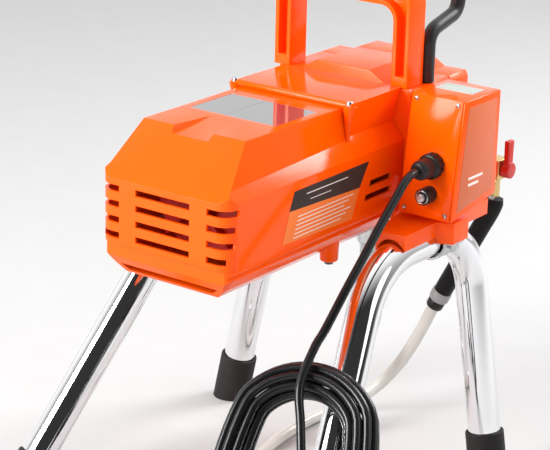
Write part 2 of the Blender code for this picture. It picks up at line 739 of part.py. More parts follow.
def make_front_cover():
    start = HOUSING_END + GAP
    cover = piece("front_cover", "orange_cast", prism("Y", housing_outline(), start, FRONT_END))
    near, far = CRANK_X - YOKE_HALF, CRANK_X + YOKE_HALF
    add(cover, block((near, start, YOKE_TOP - 0.002), (far, YOKE_DEPTH[1], CHAMBER_LOW + 0.010)))
    add(cover, block((near, YOKE_DEPTH[0], YOKE_LOW), (far, YOKE_DEPTH[1], YOKE_TOP)))
    cut(cover, block((CRANK_X - CHAMBER_HALF, start - 0.01, CHAMBER_LOW),
                     (CRANK_X + CHAMBER_HALF, CHAMBER_END, CHAMBER_HIGH)))
    nut_top = CYLINDER_TOP + GAP + NUT_HEIGHT
    passage = (
        (CYLINDER_RADIUS + GAP, YOKE_LOW - 0.01), (CYLINDER_RADIUS + GAP, nut_top + GAP),
        (PISTON_RADIUS + 0.0025, nut_top + GAP), (PISTON_RADIUS + 0.0025, CHAMBER_LOW + 0.002))
    cut(cover, turned("Z", passage), (CRANK_X, PUMP_Y, 0))


def make_piston():
    eye = THROW + PIN_RADIUS + GAP
    outer = eye + EYE_WALL
    neck = PISTON_RADIUS + 0.001
    foot = -THROW - outer - 0.018
    outline = arc((0, THROW), outer, 0, 180, 12)
    outline += arc((0, -THROW), outer, 180, 240, 4)
    outline += [(-neck, foot), (neck, foot)]
    outline += arc((0, -THROW), outer, 300, 360, 4)
    place = (CRANK_X, 0, CRANK_Z)
    rod_end = ROD_START + ROD_THICK
    link = piece("connecting_rod", "steel", prism("Y", outline, ROD_START, rod_end), place)
    opening = arc((0, THROW), eye, 0, 180, 12) + arc((0, -THROW), eye, 180, 360, 12)
    cut(link, prism("Y", opening, ROD_START - 0.01, rod_end + 0.01), place)
    top = CRANK_Z + foot - GAP
    head_top = PISTON_HEAD_Z + PISTON_HEAD_LENGTH
    profile = ((PISTON_RADIUS, top), (PISTON_RADIUS, head_top), (PISTON_HEAD_RADIUS, head_top),
               (PISTON_HEAD_RADIUS, PISTON_HEAD_Z))
    piece("piston_rod", "chrome", turned("Z", profile), (CRANK_X, PUMP_Y, 0))


def make_pump():
    place = (CRANK_X, PUMP_Y, 0)
    wide = PISTON_HEAD_RADIUS + SLIDE
    narrow = CYLINDER_FOOT_RADIUS - BARREL_WALL
    ledge = PISTON_HEAD_Z - THROW - 0.003
    barrel = ((CYLINDER_RADIUS, CYLINDER_TOP), (CYLINDER_RADIUS, CYLINDER_STEP),
              (CYLINDER_FOOT_RADIUS, CYLINDER_STEP - 0.006), (CYLINDER_FOOT_RADIUS, CYLINDER_LOW),
              (narrow, CYLINDER_LOW), (narrow, ledge), (wide, ledge), (wide, CYLINDER_TOP))
    piece("pump_cylinder", "steel", turned("Z", barrel, True), place)
    nut_low = CYLINDER_TOP + GAP
    piece("packing_nut", "brass",
          ring("Z", NUT_RADIUS, PISTON_RADIUS + SLIDE, nut_low, nut_low + NUT_HEIGHT), place)
    top = CYLINDER_LOW - GAP
    low = top - INLET_LENGTH
    chamber = BALL_RADIUS + 0.002
    seat = low + SEAT_HEIGHT
    inlet = ((INLET_RADIUS, top), (INLET_RADIUS, low), (SEAT_RADIUS, low), (SEAT_RADIUS, seat),
             (chamber, seat), (chamber, top))
    piece("inlet_valve", "steel", turned("Z", inlet, True), place)
    rise = math.sqrt(BALL_RADIUS ** 2 - SEAT_RADIUS ** 2) + GAP * 2
    ball = bmesh.new()
    bmesh.ops.create_uvsphere(ball, u_segments=16, v_segments=10, radius=BALL_RADIUS)
    piece("inlet_ball", "steel", ball, (CRANK_X, PUMP_Y, seat + rise))


def make_fluid_section():
    low, high = FLUID_Z
    mid_y = (FLUID_Y[0] + FLUID_Y[1]) / 2
    soft = 0.003
    outline = ((FLUID_Y[0], low), (FLUID_Y[1] - soft, low), (FLUID_Y[1], low + soft),
               (FLUID_Y[1], high - soft), (FLUID_Y[1] - soft, high), (FLUID_Y[0], high))
    piece("fluid_manifold", "aluminium", prism("X", outline, FLUID_X[0], FLUID_X[1]))
    start = high + GAP
    top = start + FILTER_HEIGHT
    profile = ((FILTER_RADIUS, start), (FILTER_RADIUS, top - 0.014),
               (FILTER_RADIUS - 0.003, top - 0.013), (FILTER_RADIUS - 0.003, top))
    piece("filter_housing", "steel", turned("Z", profile), (FILTER_X, mid_y, 0))
    mid_z = (low + high) / 2
    outlet_start = FLUID_X[0] - GAP
    outlet = ((OUTLET_RADIUS, outlet_start), (OUTLET_RADIUS, outlet_start - OUTLET_LENGTH / 3),
              (OUTLET_RADIUS - 0.002, outlet_start - OUTLET_LENGTH / 3),
              (OUTLET_RADIUS - 0.002, outlet_start - OUTLET_LENGTH))
    piece("outlet_fitting", "brass", turned("X", outlet, steps=18), (0, mid_y, mid_z))
    valve = piece("prime_valve", "brass", block(
        (VALVE_X[0], mid_y - VALVE_HALF, VALVE_Z - VALVE_HALF),
        (VALVE_X[1], mid_y + VALVE_HALF, VALVE_Z + VALVE_HALF)))
    add(valve, rod("Z", BARB_RADIUS, BARB_LOW, VALVE_Z, 16, centre=(BARB_X, mid_y, 0)))
    handle_start = VALVE_X[1] + GAP
    place = (0, mid_y, VALVE_Z)
    handle = piece("prime_handle", "red",
                   rod("X", PRIME_HUB_RADIUS, handle_start, handle_start + 0.009, 20), place)
    lever = ((-0.0045, 0), (0.0045, 0), (0.0055, PRIME_LEVER), (-0.0055, PRIME_LEVER))
    add(handle, prism("X", lever, handle_start + 0.002, handle_start + 0.007), place)
    siphon = smooth(SIPHON_ROUTE, 0.012)
    piece("siphon_tube", "steel",
          sweep(siphon, (SIPHON_RADIUS, SIPHON_BORE), 12, Vector((1, 0, 0))))
    end = SIPHON_ROUTE[-1]
    strainer = ((STRAINER_RADIUS, -GAP), (STRAINER_RADIUS, -STRAINER_LENGTH),
                (STRAINER_RADIUS - 0.003, -STRAINER_LENGTH - 0.003),
                (STRAINER_RADIUS - 0.003, -STRAINER_LENGTH), (STRAINER_RADIUS - 0.003, -0.004),
                (SIPHON_BORE, -0.004), (SIPHON_BORE, -GAP))
    piece("siphon_strainer", "steel", turned("Z", strainer, True), end)


def leg_path(side):
    """Middle line of one bent stand tube, from the rear foot to the front foot."""
    rear_top = Vector((TUBE_X, REAR_BEND_Y, TUBE_Z))
    front_top = Vector((TUBE_X, FRONT_BEND_Y, TUBE_Z))
    rear_end = REAR_FOOT.lerp(rear_top, foot_share(REAR_FOOT, rear_top))
    front_end = FRONT_FOOT.lerp(front_top, foot_share(FRONT_FOOT, front_top))
    path = [rear_end]
    path += bend(REAR_FOOT, rear_top, front_top, REAR_BEND_RADIUS, 6)
    path += bend(rear_top, front_top, FRONT_FOOT, FRONT_BEND_RADIUS, 7)
    path.append(front_end)
    return [Vector((side * point.x, point.y, point.z)) for point in path]


def foot_share(foot, top):
    """How far up the leg its tube starts, above the sole of the rubber foot."""
    return (FOOT_SOLE + GAP) / (top - foot).length


def make_foot(name, bottom, top, side):
    base = Vector((side * bottom.x, bottom.y, bottom.z))
    up = (Vector((side * top.x, top.y, top.z)) - base).normalized()
    turn = up.to_track_quat("Z", "Y").to_euler()
    profile = ((FOOT_RADIUS, -0.02), (FOOT_RADIUS, FOOT_HEIGHT - 0.003),
               (FOOT_RADIUS - 0.002, FOOT_HEIGHT))
    foot = piece(name, "rubber", turned("Z", profile), base)
    foot.rotation_euler = turn
    cut(foot, rod("Z", TUBE_RADIUS + GAP, FOOT_SOLE, FOOT_HEIGHT + 0.01), base)
    bpy.data.objects[f"{name}_difference"].rotation_euler = turn
    reach = FOOT_RADIUS * 3
    cut(foot, block((base.x - reach, base.y - reach, -0.05), (base.x + reach, base.y + reach, 0)))


def make_stand():
    rear_top = Vector((TUBE_X, REAR_BEND_Y, TUBE_Z))
    front_top = Vector((TUBE_X, FRONT_BEND_Y, TUBE_Z))
    for side, word in ((1, "right"), (-1, "left")):
        tube = sweep(leg_path(side), (TUBE_RADIUS, TUBE_BORE), 12, Vector((1, 0, 0)))
        piece(f"frame_tube_{word}", "chrome", tube)
        make_foot(f"rear_foot_{word}", REAR_FOOT, rear_top, side)
        make_foot(f"front_foot_{word}", FRONT_FOOT, front_top, side)
        make_saddle(side, word)
        make_clamp(side, word)


def make_saddle(side, word):
    """Orange bracket that carries the machine on one stand tube."""
    near = HOUSING_HALF + GAP
    plan = ((near, HOUSING_END - 0.004), (near, HOUSING_START + 0.002), (near + 0.006, 0.262),
            (near + 0.019, SADDLE_REAR), (SADDLE_OUTER, SADDLE_REAR),
            (SADDLE_OUTER, CLAMP_Y[0] - 0.010), (SADDLE_EAR, CLAMP_Y[0] - 0.002),
            (SADDLE_EAR, CLAMP_Y[1] + 0.004), (SADDLE_OUTER, CLAMP_Y[1] + 0.012),
            (SADDLE_OUTER, HOUSING_END - 0.004))
    outline = [(side * x, y) for x, y in plan]
    high = SADDLE_LOW + SADDLE_THICK
    saddle = piece(f"tube_saddle_{word}", "orange_cast", prism("Z", outline, SADDLE_LOW, high))
    groove = rod("Y", TUBE_RADIUS + GAP, SADDLE_REAR - 0.01, HOUSING_END + 0.01)
    cut(saddle, groove, (side * TUBE_X, 0, TUBE_Z))


def make_clamp(side, word):
    """Strap under the tube, with a flange on each side against the saddle."""
    thick = CLAMP_THICK
    flange_top = SADDLE_LOW - GAP - TUBE_Z
    flange_low = flange_top - thick
    outer = CLAMP_RADIUS + thick
    angle = math.degrees(math.asin(-flange_low / outer)) if flange_low < 0 else 0
    outline = [(CLAMP_REACH, flange_top), (CLAMP_RADIUS, flange_top)]
    outline += arc((0, 0), CLAMP_RADIUS, 0, -180, 12)
    outline += [(-CLAMP_RADIUS, flange_top), (-CLAMP_REACH, flange_top), (-CLAMP_REACH, flange_low)]
    outline += arc((0, 0), outer, 180 + angle, 360 - angle, 12)
    outline += [(CLAMP_REACH, flange_low)]
    piece(f"clamp_strap_{word}", "steel", prism("Y", outline, CLAMP_Y[0], CLAMP_Y[1]),
          (side * TUBE_X, 0, TUBE_Z))


def make_handle():
    base = SEAT_Z + GAP
    under = HANDLE_TOP - GRIP_THICK
    outline = [(HANDLE_OUTER, base)]
    outline += arc((HANDLE_OUTER - 0.022, HANDLE_TOP - 0.022), 0.022, 0, 90, 5)
    outline += arc((0.022 - HANDLE_OUTER, HANDLE_TOP - 0.022), 0.022, 90, 180, 5)
    outline += [(-HANDLE_OUTER, base), (-HANDLE_INNER, base)]
    outline += arc((0.014 - HANDLE_INNER, under - 0.014), 0.014, 180, 90, 4)
    outline += arc((HANDLE_INNER - 0.014, under - 0.014), 0.014, 90, 0, 4)
    outline += [(HANDLE_INNER, base)]
    piece("carry_handle", "orange", prism("Y", outline, HANDLE_Y[0], HANDLE_Y[1]),
          (HANDLE_X, 0, 0))
    low = Vector((HOOK_X, HOOK_Y - 0.002, SEAT_Z + GAP))
    knee = Vector((HOOK_X, HOOK_Y - 0.002, 0.436))
    far = Vector((HOOK_X, HOOK_Y + 0.046, 0.448))
    tip = Vector((HOOK_X, HOOK_Y + 0.052, 0.476))
    path = [low] + bend(low, knee, far, 0.016, 5) + bend(knee, far, tip, 0.014, 5) + [tip]
    piece("hose_hook", "black", sweep(path, (HOOK_RADIUS,), 12, Vector((1, 0, 0))))


def box_side(grow=0.0):
    """Side view of the control box, grown or shrunk all round."""
    return (
        (BOX_REAR_TOP_Y - grow, BOX_TOP + grow), (BOX_REAR_LOW_Y - grow, BOX_REAR_LOW_Z - grow),
        (BOX_FRONT_Y + grow, BOX_FRONT_LOW_Z - grow), (BOX_FRONT_Y + grow, BOX_TOP + grow))


def make_control_box():
    box = piece("control_box", "orange", prism("X", box_side(), BOX_X[0], BOX_X[1]))
    cut(box, prism("X", box_side(-BOX_WALL), BOX_X[0] + BOX_WALL, BOX_X[1] + 0.01))
    rear, front = BOX_REAR_LOW_Y - 0.01, BOX_FRONT_Y + 0.01
    cut(box, rod("Y", GLAND_RADIUS - 0.001 + GAP, rear, 0.262), (GLAND_X, 0, GLAND_Z))
    cut(box, rod("Y", BREAKER_RADIUS - 0.001 + GAP, rear, 0.262), (GLAND_X, 0, BREAKER_Z))
    cut(box, rod("Y", SPINDLE_RADIUS + RUN, BOX_FRONT_Y - 0.01, front), (KNOB_X, 0, KNOB_Z))
    wide, tall = ROCKER_HALF[0] + 0.0008, ROCKER_HALF[1] + 0.0014
    cut(box, block((KNOB_X - wide, BOX_FRONT_Y - 0.01, ROCKER_Z - tall),
                   (KNOB_X + wide, front, ROCKER_Z + tall)))
    lid_start = BOX_X[1] + GAP
    piece("control_panel", "orange_cast", prism("X", box_side(), lid_start, lid_start + BOX_LID))
    board_x = BOX_X[0] + BOX_WALL + 0.006
    piece("circuit_board", "green", block(
        (board_x, BOX_REAR_TOP_Y + 0.012, BOX_FRONT_LOW_Z + 0.012),
        (board_x + BOARD_THICK, BOX_FRONT_Y - 0.012, BOX_TOP - 0.014)))
    make_gland_and_breaker()
    make_controls()


def make_gland_and_breaker():
    wall_y = BOX_REAR_TOP_Y - (BOX_REAR_TOP_Y - BOX_REAR_LOW_Y) / 2
    profile = (
        (CORD_RADIUS + 0.0022, GLAND_TIP_Y), (GLAND_RADIUS, GLAND_TIP_Y + 0.003),
        (GLAND_RADIUS, wall_y - 0.012), (COLLAR_RADIUS, wall_y - 0.011),
        (COLLAR_RADIUS, wall_y + 0.008))
    gland = piece("cord_gland", "black", turned("Y", profile, steps=20), (GLAND_X, 0, GLAND_Z))
    cut(gland, prism("X", box_side(GAP), 0.05, 0.20))
    add(gland, rod("Y", GLAND_RADIUS - 0.001, wall_y - 0.008, wall_y + 0.010, 20),
        (GLAND_X, 0, GLAND_Z))
    tip = 0.2215
    bore = BUTTON_RADIUS + SLIDE
    body = ((BREAKER_RADIUS, tip), (BREAKER_RADIUS, wall_y + 0.006), (bore, wall_y + 0.006),
            (bore, tip))
    place = (GLAND_X, 0, BREAKER_Z)
    breaker = piece("breaker_body", "black", turned("Y", body, True, 20), place)
    cut(breaker, prism("X", box_side(GAP), 0.05, 0.20))
    inner = BREAKER_RADIUS - 0.001
    sleeve = ((inner, wall_y - 0.010), (inner, wall_y + 0.020), (bore, wall_y + 0.020),
              (bore, wall_y - 0.010))
    add(breaker, turned("Y", sleeve, True, 20), place)
    piece("breaker_button", "steel",
          rod("Y", BUTTON_RADIUS, tip - 0.004, tip + 0.016, 16), place)


def make_controls():
    start = BOX_FRONT_Y + GAP
    profile = (
        (SPINDLE_RADIUS, BOX_FRONT_Y - 0.012), (SPINDLE_RADIUS, start + 0.0005),
        (KNOB_RADIUS, start + 0.0005), (KNOB_RADIUS, start + KNOB_DEPTH - 0.002),
        (KNOB_RADIUS - 0.002, start + KNOB_DEPTH))
    place = (KNOB_X, 0, KNOB_Z)
    knob = piece("pressure_knob", "black", turned("Y", profile), place)
    mark = block((-0.0012, start + KNOB_DEPTH - 0.0015, 0.005),
                 (0.0012, start + KNOB_DEPTH + 0.002, 0.020))
    cut(knob, mark, place)
    wide, tall = ROCKER_HALF
    deep = ROCKER_THICK / 2
    outline = ((-deep, -tall), (deep, -tall), (deep - 0.0015, 0), (deep, tall), (-deep, tall))
    rocker = piece("power_rocker", "black", prism("X", outline, -wide, wide),
                   (KNOB_X, BOX_FRONT_Y, ROCKER_Z))
    rocker.rotation_euler.x = -ROCKER_TILT


def coil_frame():
    """Middle, downward direction, sideways direction and normal of the hanging coil."""
    top = Vector((TUBE_X, REAR_BEND_Y, TUBE_Z))
    down = (REAR_FOOT - top).normalized()
    side = Vector((-down.y, down.x, 0)).normalized()
    normal = side.cross(down).normalized()
    if normal.y > 0:
        normal = -normal
    reach = (COIL_LENGTH - COIL_THICK) / 2 * abs(down.z) + COIL_THICK / 2
    on_leg = REAR_FOOT - down * ((reach + 0.0005 - COIL_CLEAR * normal.z) / abs(down.z))
    return on_leg + normal * COIL_CLEAR + side * COIL_SHIFT, down, side, normal


def make_coil():
    middle, down, side, normal = coil_frame()
    outer = COIL_WIDTH / 2 - COIL_THICK / 2
    straight = COIL_LENGTH / 2 - COIL_WIDTH / 2
    loop = arc((0, straight), outer, 0, 180, 12) + arc((0, -straight), outer, 180, 360, 12)
    path = [middle + side * u + down * v for u, v in loop]
    piece("cord_coil", "black", sweep(path, (COIL_THICK / 2,), 10, normal, closed=True))


def make_plug():
    end = Vector(TAIL_ROUTE[-1])
    shell = ((CORD_RADIUS + 0.001, -GAP), (0.0075, -0.012), (PLUG_RADIUS, -0.020),
             (PLUG_RADIUS, -0.040), (PLUG_RADIUS - 0.001, -0.042))
    plug = piece("mains_plug", "black", turned("X", shell, steps=20),
                 (end.x, end.y, PLUG_RADIUS + 0.0002))
    pins = bmesh.new()
    for offset in (-0.0095, 0.0095):
        rod("X", 0.0024, -0.061, -0.038, 10, pins, (0, offset, 0))
    add(plug, pins, (end.x, end.y, PLUG_RADIUS + 0.0002))


def make_cords():
    cable("cord_lead", "black", LEAD_ROUTE, CORD_RADIUS, CORD_RADIUS * 5)
    make_coil()
    cable("cord_tail", "black", TAIL_ROUTE, CORD_RADIUS, CORD_RADIUS * 5)
    make_plug()
    cable("drain_sleeve", "rubber", SLEEVE_ROUTE, SLEEVE_RADIUS, SLEEVE_RADIUS * 2, 3)
    cable("drain_hose", "hose", DRAIN_ROUTE, DRAIN_RADIUS, DRAIN_RADIUS * 4)
    tip = Vector(DRAIN_ROUTE[-1])
    heading_y = (tip - Vector(DRAIN_ROUTE[-2])).normalized()
    profile = ((TIP_RADIUS, GAP), (TIP_RADIUS, TIP_LENGTH - 0.004),
               (TIP_RADIUS - 0.003, TIP_LENGTH))
    end = piece("drain_tip", "steel", turned("Z", profile, steps=16),
                (tip.x, tip.y, TIP_RADIUS + 0.0002))
    end.rotation_euler = heading_y.to_track_quat("Z", "Y").to_euler()


def main():
    clear_scene()
    machine = bpy.data.objects.new("machine", None)
    bpy.context.scene.collection.objects.link(machine)
    machine.location = (0, NOSE_Y, 0)
    make_shroud()
    make_bottom_cover()
    make_motor()
    make_gears()
    make_housing()
    make_front_cover()
    make_piston()
    make_pump()
    make_fluid_section()
    make_stand()
    make_handle()
    make_control_box()
    make_cords()


main()
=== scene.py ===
"""Looks of the airless paint sprayer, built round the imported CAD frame.

Places are written as in the part's source: (across, back from the nose, height) in metres.
shift() moves them into the row frame, which is centred on the machine's footprint.
"""
import json
import math

import bmesh
import bpy
from mathutils import Matrix, Vector


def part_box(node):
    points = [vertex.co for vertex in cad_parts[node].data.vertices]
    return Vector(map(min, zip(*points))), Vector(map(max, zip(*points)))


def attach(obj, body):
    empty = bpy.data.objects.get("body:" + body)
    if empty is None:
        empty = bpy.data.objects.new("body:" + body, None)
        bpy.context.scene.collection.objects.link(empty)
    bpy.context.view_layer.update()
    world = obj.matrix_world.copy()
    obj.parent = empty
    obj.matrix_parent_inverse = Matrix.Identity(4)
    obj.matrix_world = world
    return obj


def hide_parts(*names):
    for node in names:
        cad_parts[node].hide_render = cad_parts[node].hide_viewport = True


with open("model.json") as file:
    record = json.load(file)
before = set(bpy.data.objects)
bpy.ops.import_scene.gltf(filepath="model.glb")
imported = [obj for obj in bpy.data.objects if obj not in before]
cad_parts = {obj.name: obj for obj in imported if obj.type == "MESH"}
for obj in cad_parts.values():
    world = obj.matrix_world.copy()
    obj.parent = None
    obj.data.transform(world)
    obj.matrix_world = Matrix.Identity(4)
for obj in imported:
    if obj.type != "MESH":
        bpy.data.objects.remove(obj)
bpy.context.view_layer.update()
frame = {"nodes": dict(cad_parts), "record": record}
NODES = frame["nodes"]
NOSE_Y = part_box("shroud")[0][1]
SLOT_OF = {part["node"]: part["material_slot"] for part in frame["record"]["subparts"]}

# Camera
CAMERA_AT = (1.0365, -1.2609, 0.8643)
AZIMUTH, ELEVATION, ROLL = map(math.radians, (36.0, 18.75, 1.42))
LENS, SENSOR = 130.9, 36.0

# Shroud
BELT = 0.0725               # half width of the widest band
BELT_LOW, BELT_HIGH = 0.280, 0.340
LENGTH = 0.2685
RIDGE_Y = 0.187
TOP_Z = 0.385
FRONT_TOP_Z = 0.3895
WALL = 0.0028
NOSE_CORNER = 0.015
FACET = 0.043
VENT_HEIGHT, VENT_PITCH, VENT_TOP, VENT_ROWS = 0.006, 0.0143, 0.331, 4
VENT_HALF, VENT_GROUP_X = 0.030, 0.0485
SIDE_SLOTS = ((0.3096, 0.213, 0.01), (0.2970, 0.206, 0.01), (0.2855, 0.200, 0.0010))
LABEL_HALF, LABEL_Y, LABEL_POCKET = 0.0485, (0.0965, 0.1605), 0.0006
BOSS_X, BOSS_Y, COVER_LOW = 0.055, 0.176, 0.2500

# Casting, handle and hook
COVER_END = 0.372
COVER_BOLTS = ((-0.066, 0.270), (0.066, 0.270), (-0.066, 0.372), (0.066, 0.372),
               (-0.034, 0.388), (0.034, 0.388))
HANDLE_X = -0.004           # middle of the handle
HANDLE_OUTER, HANDLE_INNER = 0.0765, 0.0585
HANDLE_TOP, HANDLE_BASE, GRIP_THICK = 0.488, 0.3883, 0.024
HANDLE_ROUND, GRIP_ROUND = 0.022, 0.014
CHANNEL_RIM, CHANNEL_Y = 0.0042, (0.260, 0.2800)
HOOK_X, HOOK_Y, HOOK_RADIUS = 0.071, 0.306, 0.007

# Control box
BOX_FACE = 0.1502           # outside of the lid
BOX_REAR_TOP, BOX_REAR_LOW = (0.247, 0.394), (0.2335, 0.2835)
BOX_FRONT, BOX_FRONT_LOW = 0.309, 0.294
BOX_SCREWS = ((0.1425, 0.2462, 0.3895), (0.1425, 0.2325, 0.2882), (0.0985, 0.2462, 0.3895),
              (0.0985, 0.2325, 0.2882))
GLAND_X, GLAND_Z, BREAKER_Z = 0.124, 0.332, 0.305
KNOB_X, KNOB_Z, KNOB_START = 0.120, 0.366, 0.3093
DIAL_MARKS, DIAL_RADIUS, DIAL_FIRST, DIAL_STEP = 11, 0.0205, 225, 27
KNOB_GRIPS, GLAND_GRIPS = 24, 12

# Pump and fluid section
PUMP_X, PUMP_Y = -0.010, 0.352
STRAINER_Y = 0.300
FLUID_Y, OUTLET_Z, FILTER_X = 0.39125, 0.25225, 0.066

# Stand
TUBE_X, TUBE_Z, TUBE_RADIUS = 0.1135, 0.254, 0.016
REAR_BEND_Y, FRONT_BEND_Y = 0.162, 0.322
REAR_FOOT = Vector((0.1671, -0.0185, 0.0))
FRONT_FOOT = Vector((0.1601, 0.3137, 0.0))
FOOT_RADIUS, FOOT_HEIGHT = 0.019, 0.049
TUBE_START = 0.0183         # up the leg from the floor point to the tube end
REAR_BEND_RADIUS, FRONT_BEND_RADIUS = 0.100, 0.060
CLAMP_BOLT_Y, CLAMP_BOLT_X = 0.262, 0.0235

# Cord and drain hose
CORD_RADIUS = 0.004
COIL_LENGTH, COIL_THICK = 0.234, 0.034
COIL_HALF, COIL_OUT = 0.042, 0.058   # half straight side, and radius of the round ends
COIL_CLEAR, COIL_SHIFT = 0.0385, -0.019
BUNDLE = 0.0127             # how far a strand's middle lies from the bundle's middle
STRAND_TURN = math.radians(40)
COIL_START, COIL_END, COIL_TURNS = 120.0, 96.0, 9
HOSE_RADIUS = 0.00625
LEAD_ROUTE = (
    (0.1240, 0.2098, 0.3320), (0.1240, 0.2040, 0.3320), (0.1243, 0.1910, 0.3272),
    (0.1250, 0.1763, 0.3160), (0.1260, 0.1475, 0.2935), (0.1270, 0.1225, 0.2725),
    (0.1272, 0.1000, 0.2530), (0.1265, 0.0840, 0.2365), (0.1255, 0.0690, 0.2205),
    (0.1250, 0.0555, 0.2090),
)
TAIL_ROUTE = (
    (0.1000, -0.0810, 0.0120), (0.0880, -0.0850, 0.0062), (0.0740, -0.0880, 0.0045),
    (0.0620, -0.0885, 0.0080), (0.0510, -0.0873, 0.0148), (0.0300, -0.0870, 0.0152),
)
SLEEVE_ROUTE = (
    (0.1040, 0.3912, 0.2583), (0.1038, 0.3911, 0.2540), (0.1005, 0.3902, 0.2445),
    (0.0900, 0.3885, 0.2230), (0.0700, 0.3870, 0.1830), (0.0520, 0.3855, 0.1465),
)
DRAIN_ROUTE = (
    (0.0425, 0.3850, 0.1275), (0.0330, 0.3845, 0.1060), (0.0225, 0.3830, 0.0840),
    (0.0080, 0.3800, 0.0580), (-0.0090, 0.3740, 0.0345), (-0.0260, 0.3630, 0.0170),
    (-0.0390, 0.3470, 0.0085), (-0.0455, 0.3280, 0.0066), (-0.0480, 0.3050, 0.0066),
    (-0.0480, 0.2750, 0.0066), (-0.0450, 0.2400, 0.0066), (-0.0400, 0.2100, 0.0066),
    (-0.0350, 0.1850, 0.0066),
)

# Light
KEY_POWER = 84.0
RIM_POWER = 42.0
SKY_CAMERA, SKY_DIFFUSE = 1.0, 0.98
SKY_BACK, SKY_FRONT = 1.15, 0.035


def shift(point):
    return Vector((point[0], point[1] + NOSE_Y, point[2]))


# ---------------------------------------------------------------- materials

def varied(tree, scale, low, high, detail=6.0):
    """A number that wanders between low and high over the surface."""
    place = tree.nodes.new("ShaderNodeTexCoord")
    noise = tree.nodes.new("ShaderNodeTexNoise")
    noise.inputs["Scale"].default_value = scale
    noise.inputs["Detail"].default_value = detail
    spread = tree.nodes.new("ShaderNodeMapRange")
    spread.inputs["From Min"].default_value = 0.3
    spread.inputs["From Max"].default_value = 0.7
    spread.inputs["To Min"].default_value = low
    spread.inputs["To Max"].default_value = high
    tree.links.new(place.outputs["Object"], noise.inputs["Vector"])
    tree.links.new(noise.outputs["Fac"], spread.inputs["Value"])
    return spread.outputs["Result"]


def finish(name, color, rough, metallic=0.0, coat=0.0, tint=None, tint_scale=18.0,
           bump=None, specular=0.5, transmission=0.0):
    """Node material: rough is a (low, high) range, bump a (scale, depth in metres) pair."""
    made = bpy.data.materials.new(name)
    made.use_nodes = True
    tree = made.node_tree
    shader = tree.nodes["Principled BSDF"]
    shader.inputs["Base Color"].default_value = (*color, 1)
    shader.inputs["Metallic"].default_value = metallic
    shader.inputs["Coat Weight"].default_value = coat
    shader.inputs["Coat Roughness"].default_value = 0.06
    shader.inputs["Specular IOR Level"].default_value = specular
    shader.inputs["Transmission Weight"].default_value = transmission
    tree.links.new(varied(tree, 60.0, *rough), shader.inputs["Roughness"])
    if tint:
        mix = tree.nodes.new("ShaderNodeMix")
        mix.data_type = "RGBA"
        mix.inputs["A"].default_value = (*color, 1)
        mix.inputs["B"].default_value = (*tint, 1)
        tree.links.new(varied(tree, tint_scale, 0.0, 1.0), mix.inputs["Factor"])
        tree.links.new(mix.outputs["Result"], shader.inputs["Base Color"])
    if bump:
        relief = tree.nodes.new("ShaderNodeBump")
        relief.inputs["Strength"].default_value = 1.0
        relief.inputs["Distance"].default_value = bump[1]
        tree.links.new(varied(tree, bump[0], 0.0, 1.0, 3.0), relief.inputs["Height"])
        tree.links.new(relief.outputs["Normal"], shader.inputs["Normal"])
    made.diffuse_color = (*color, 1)
    return made


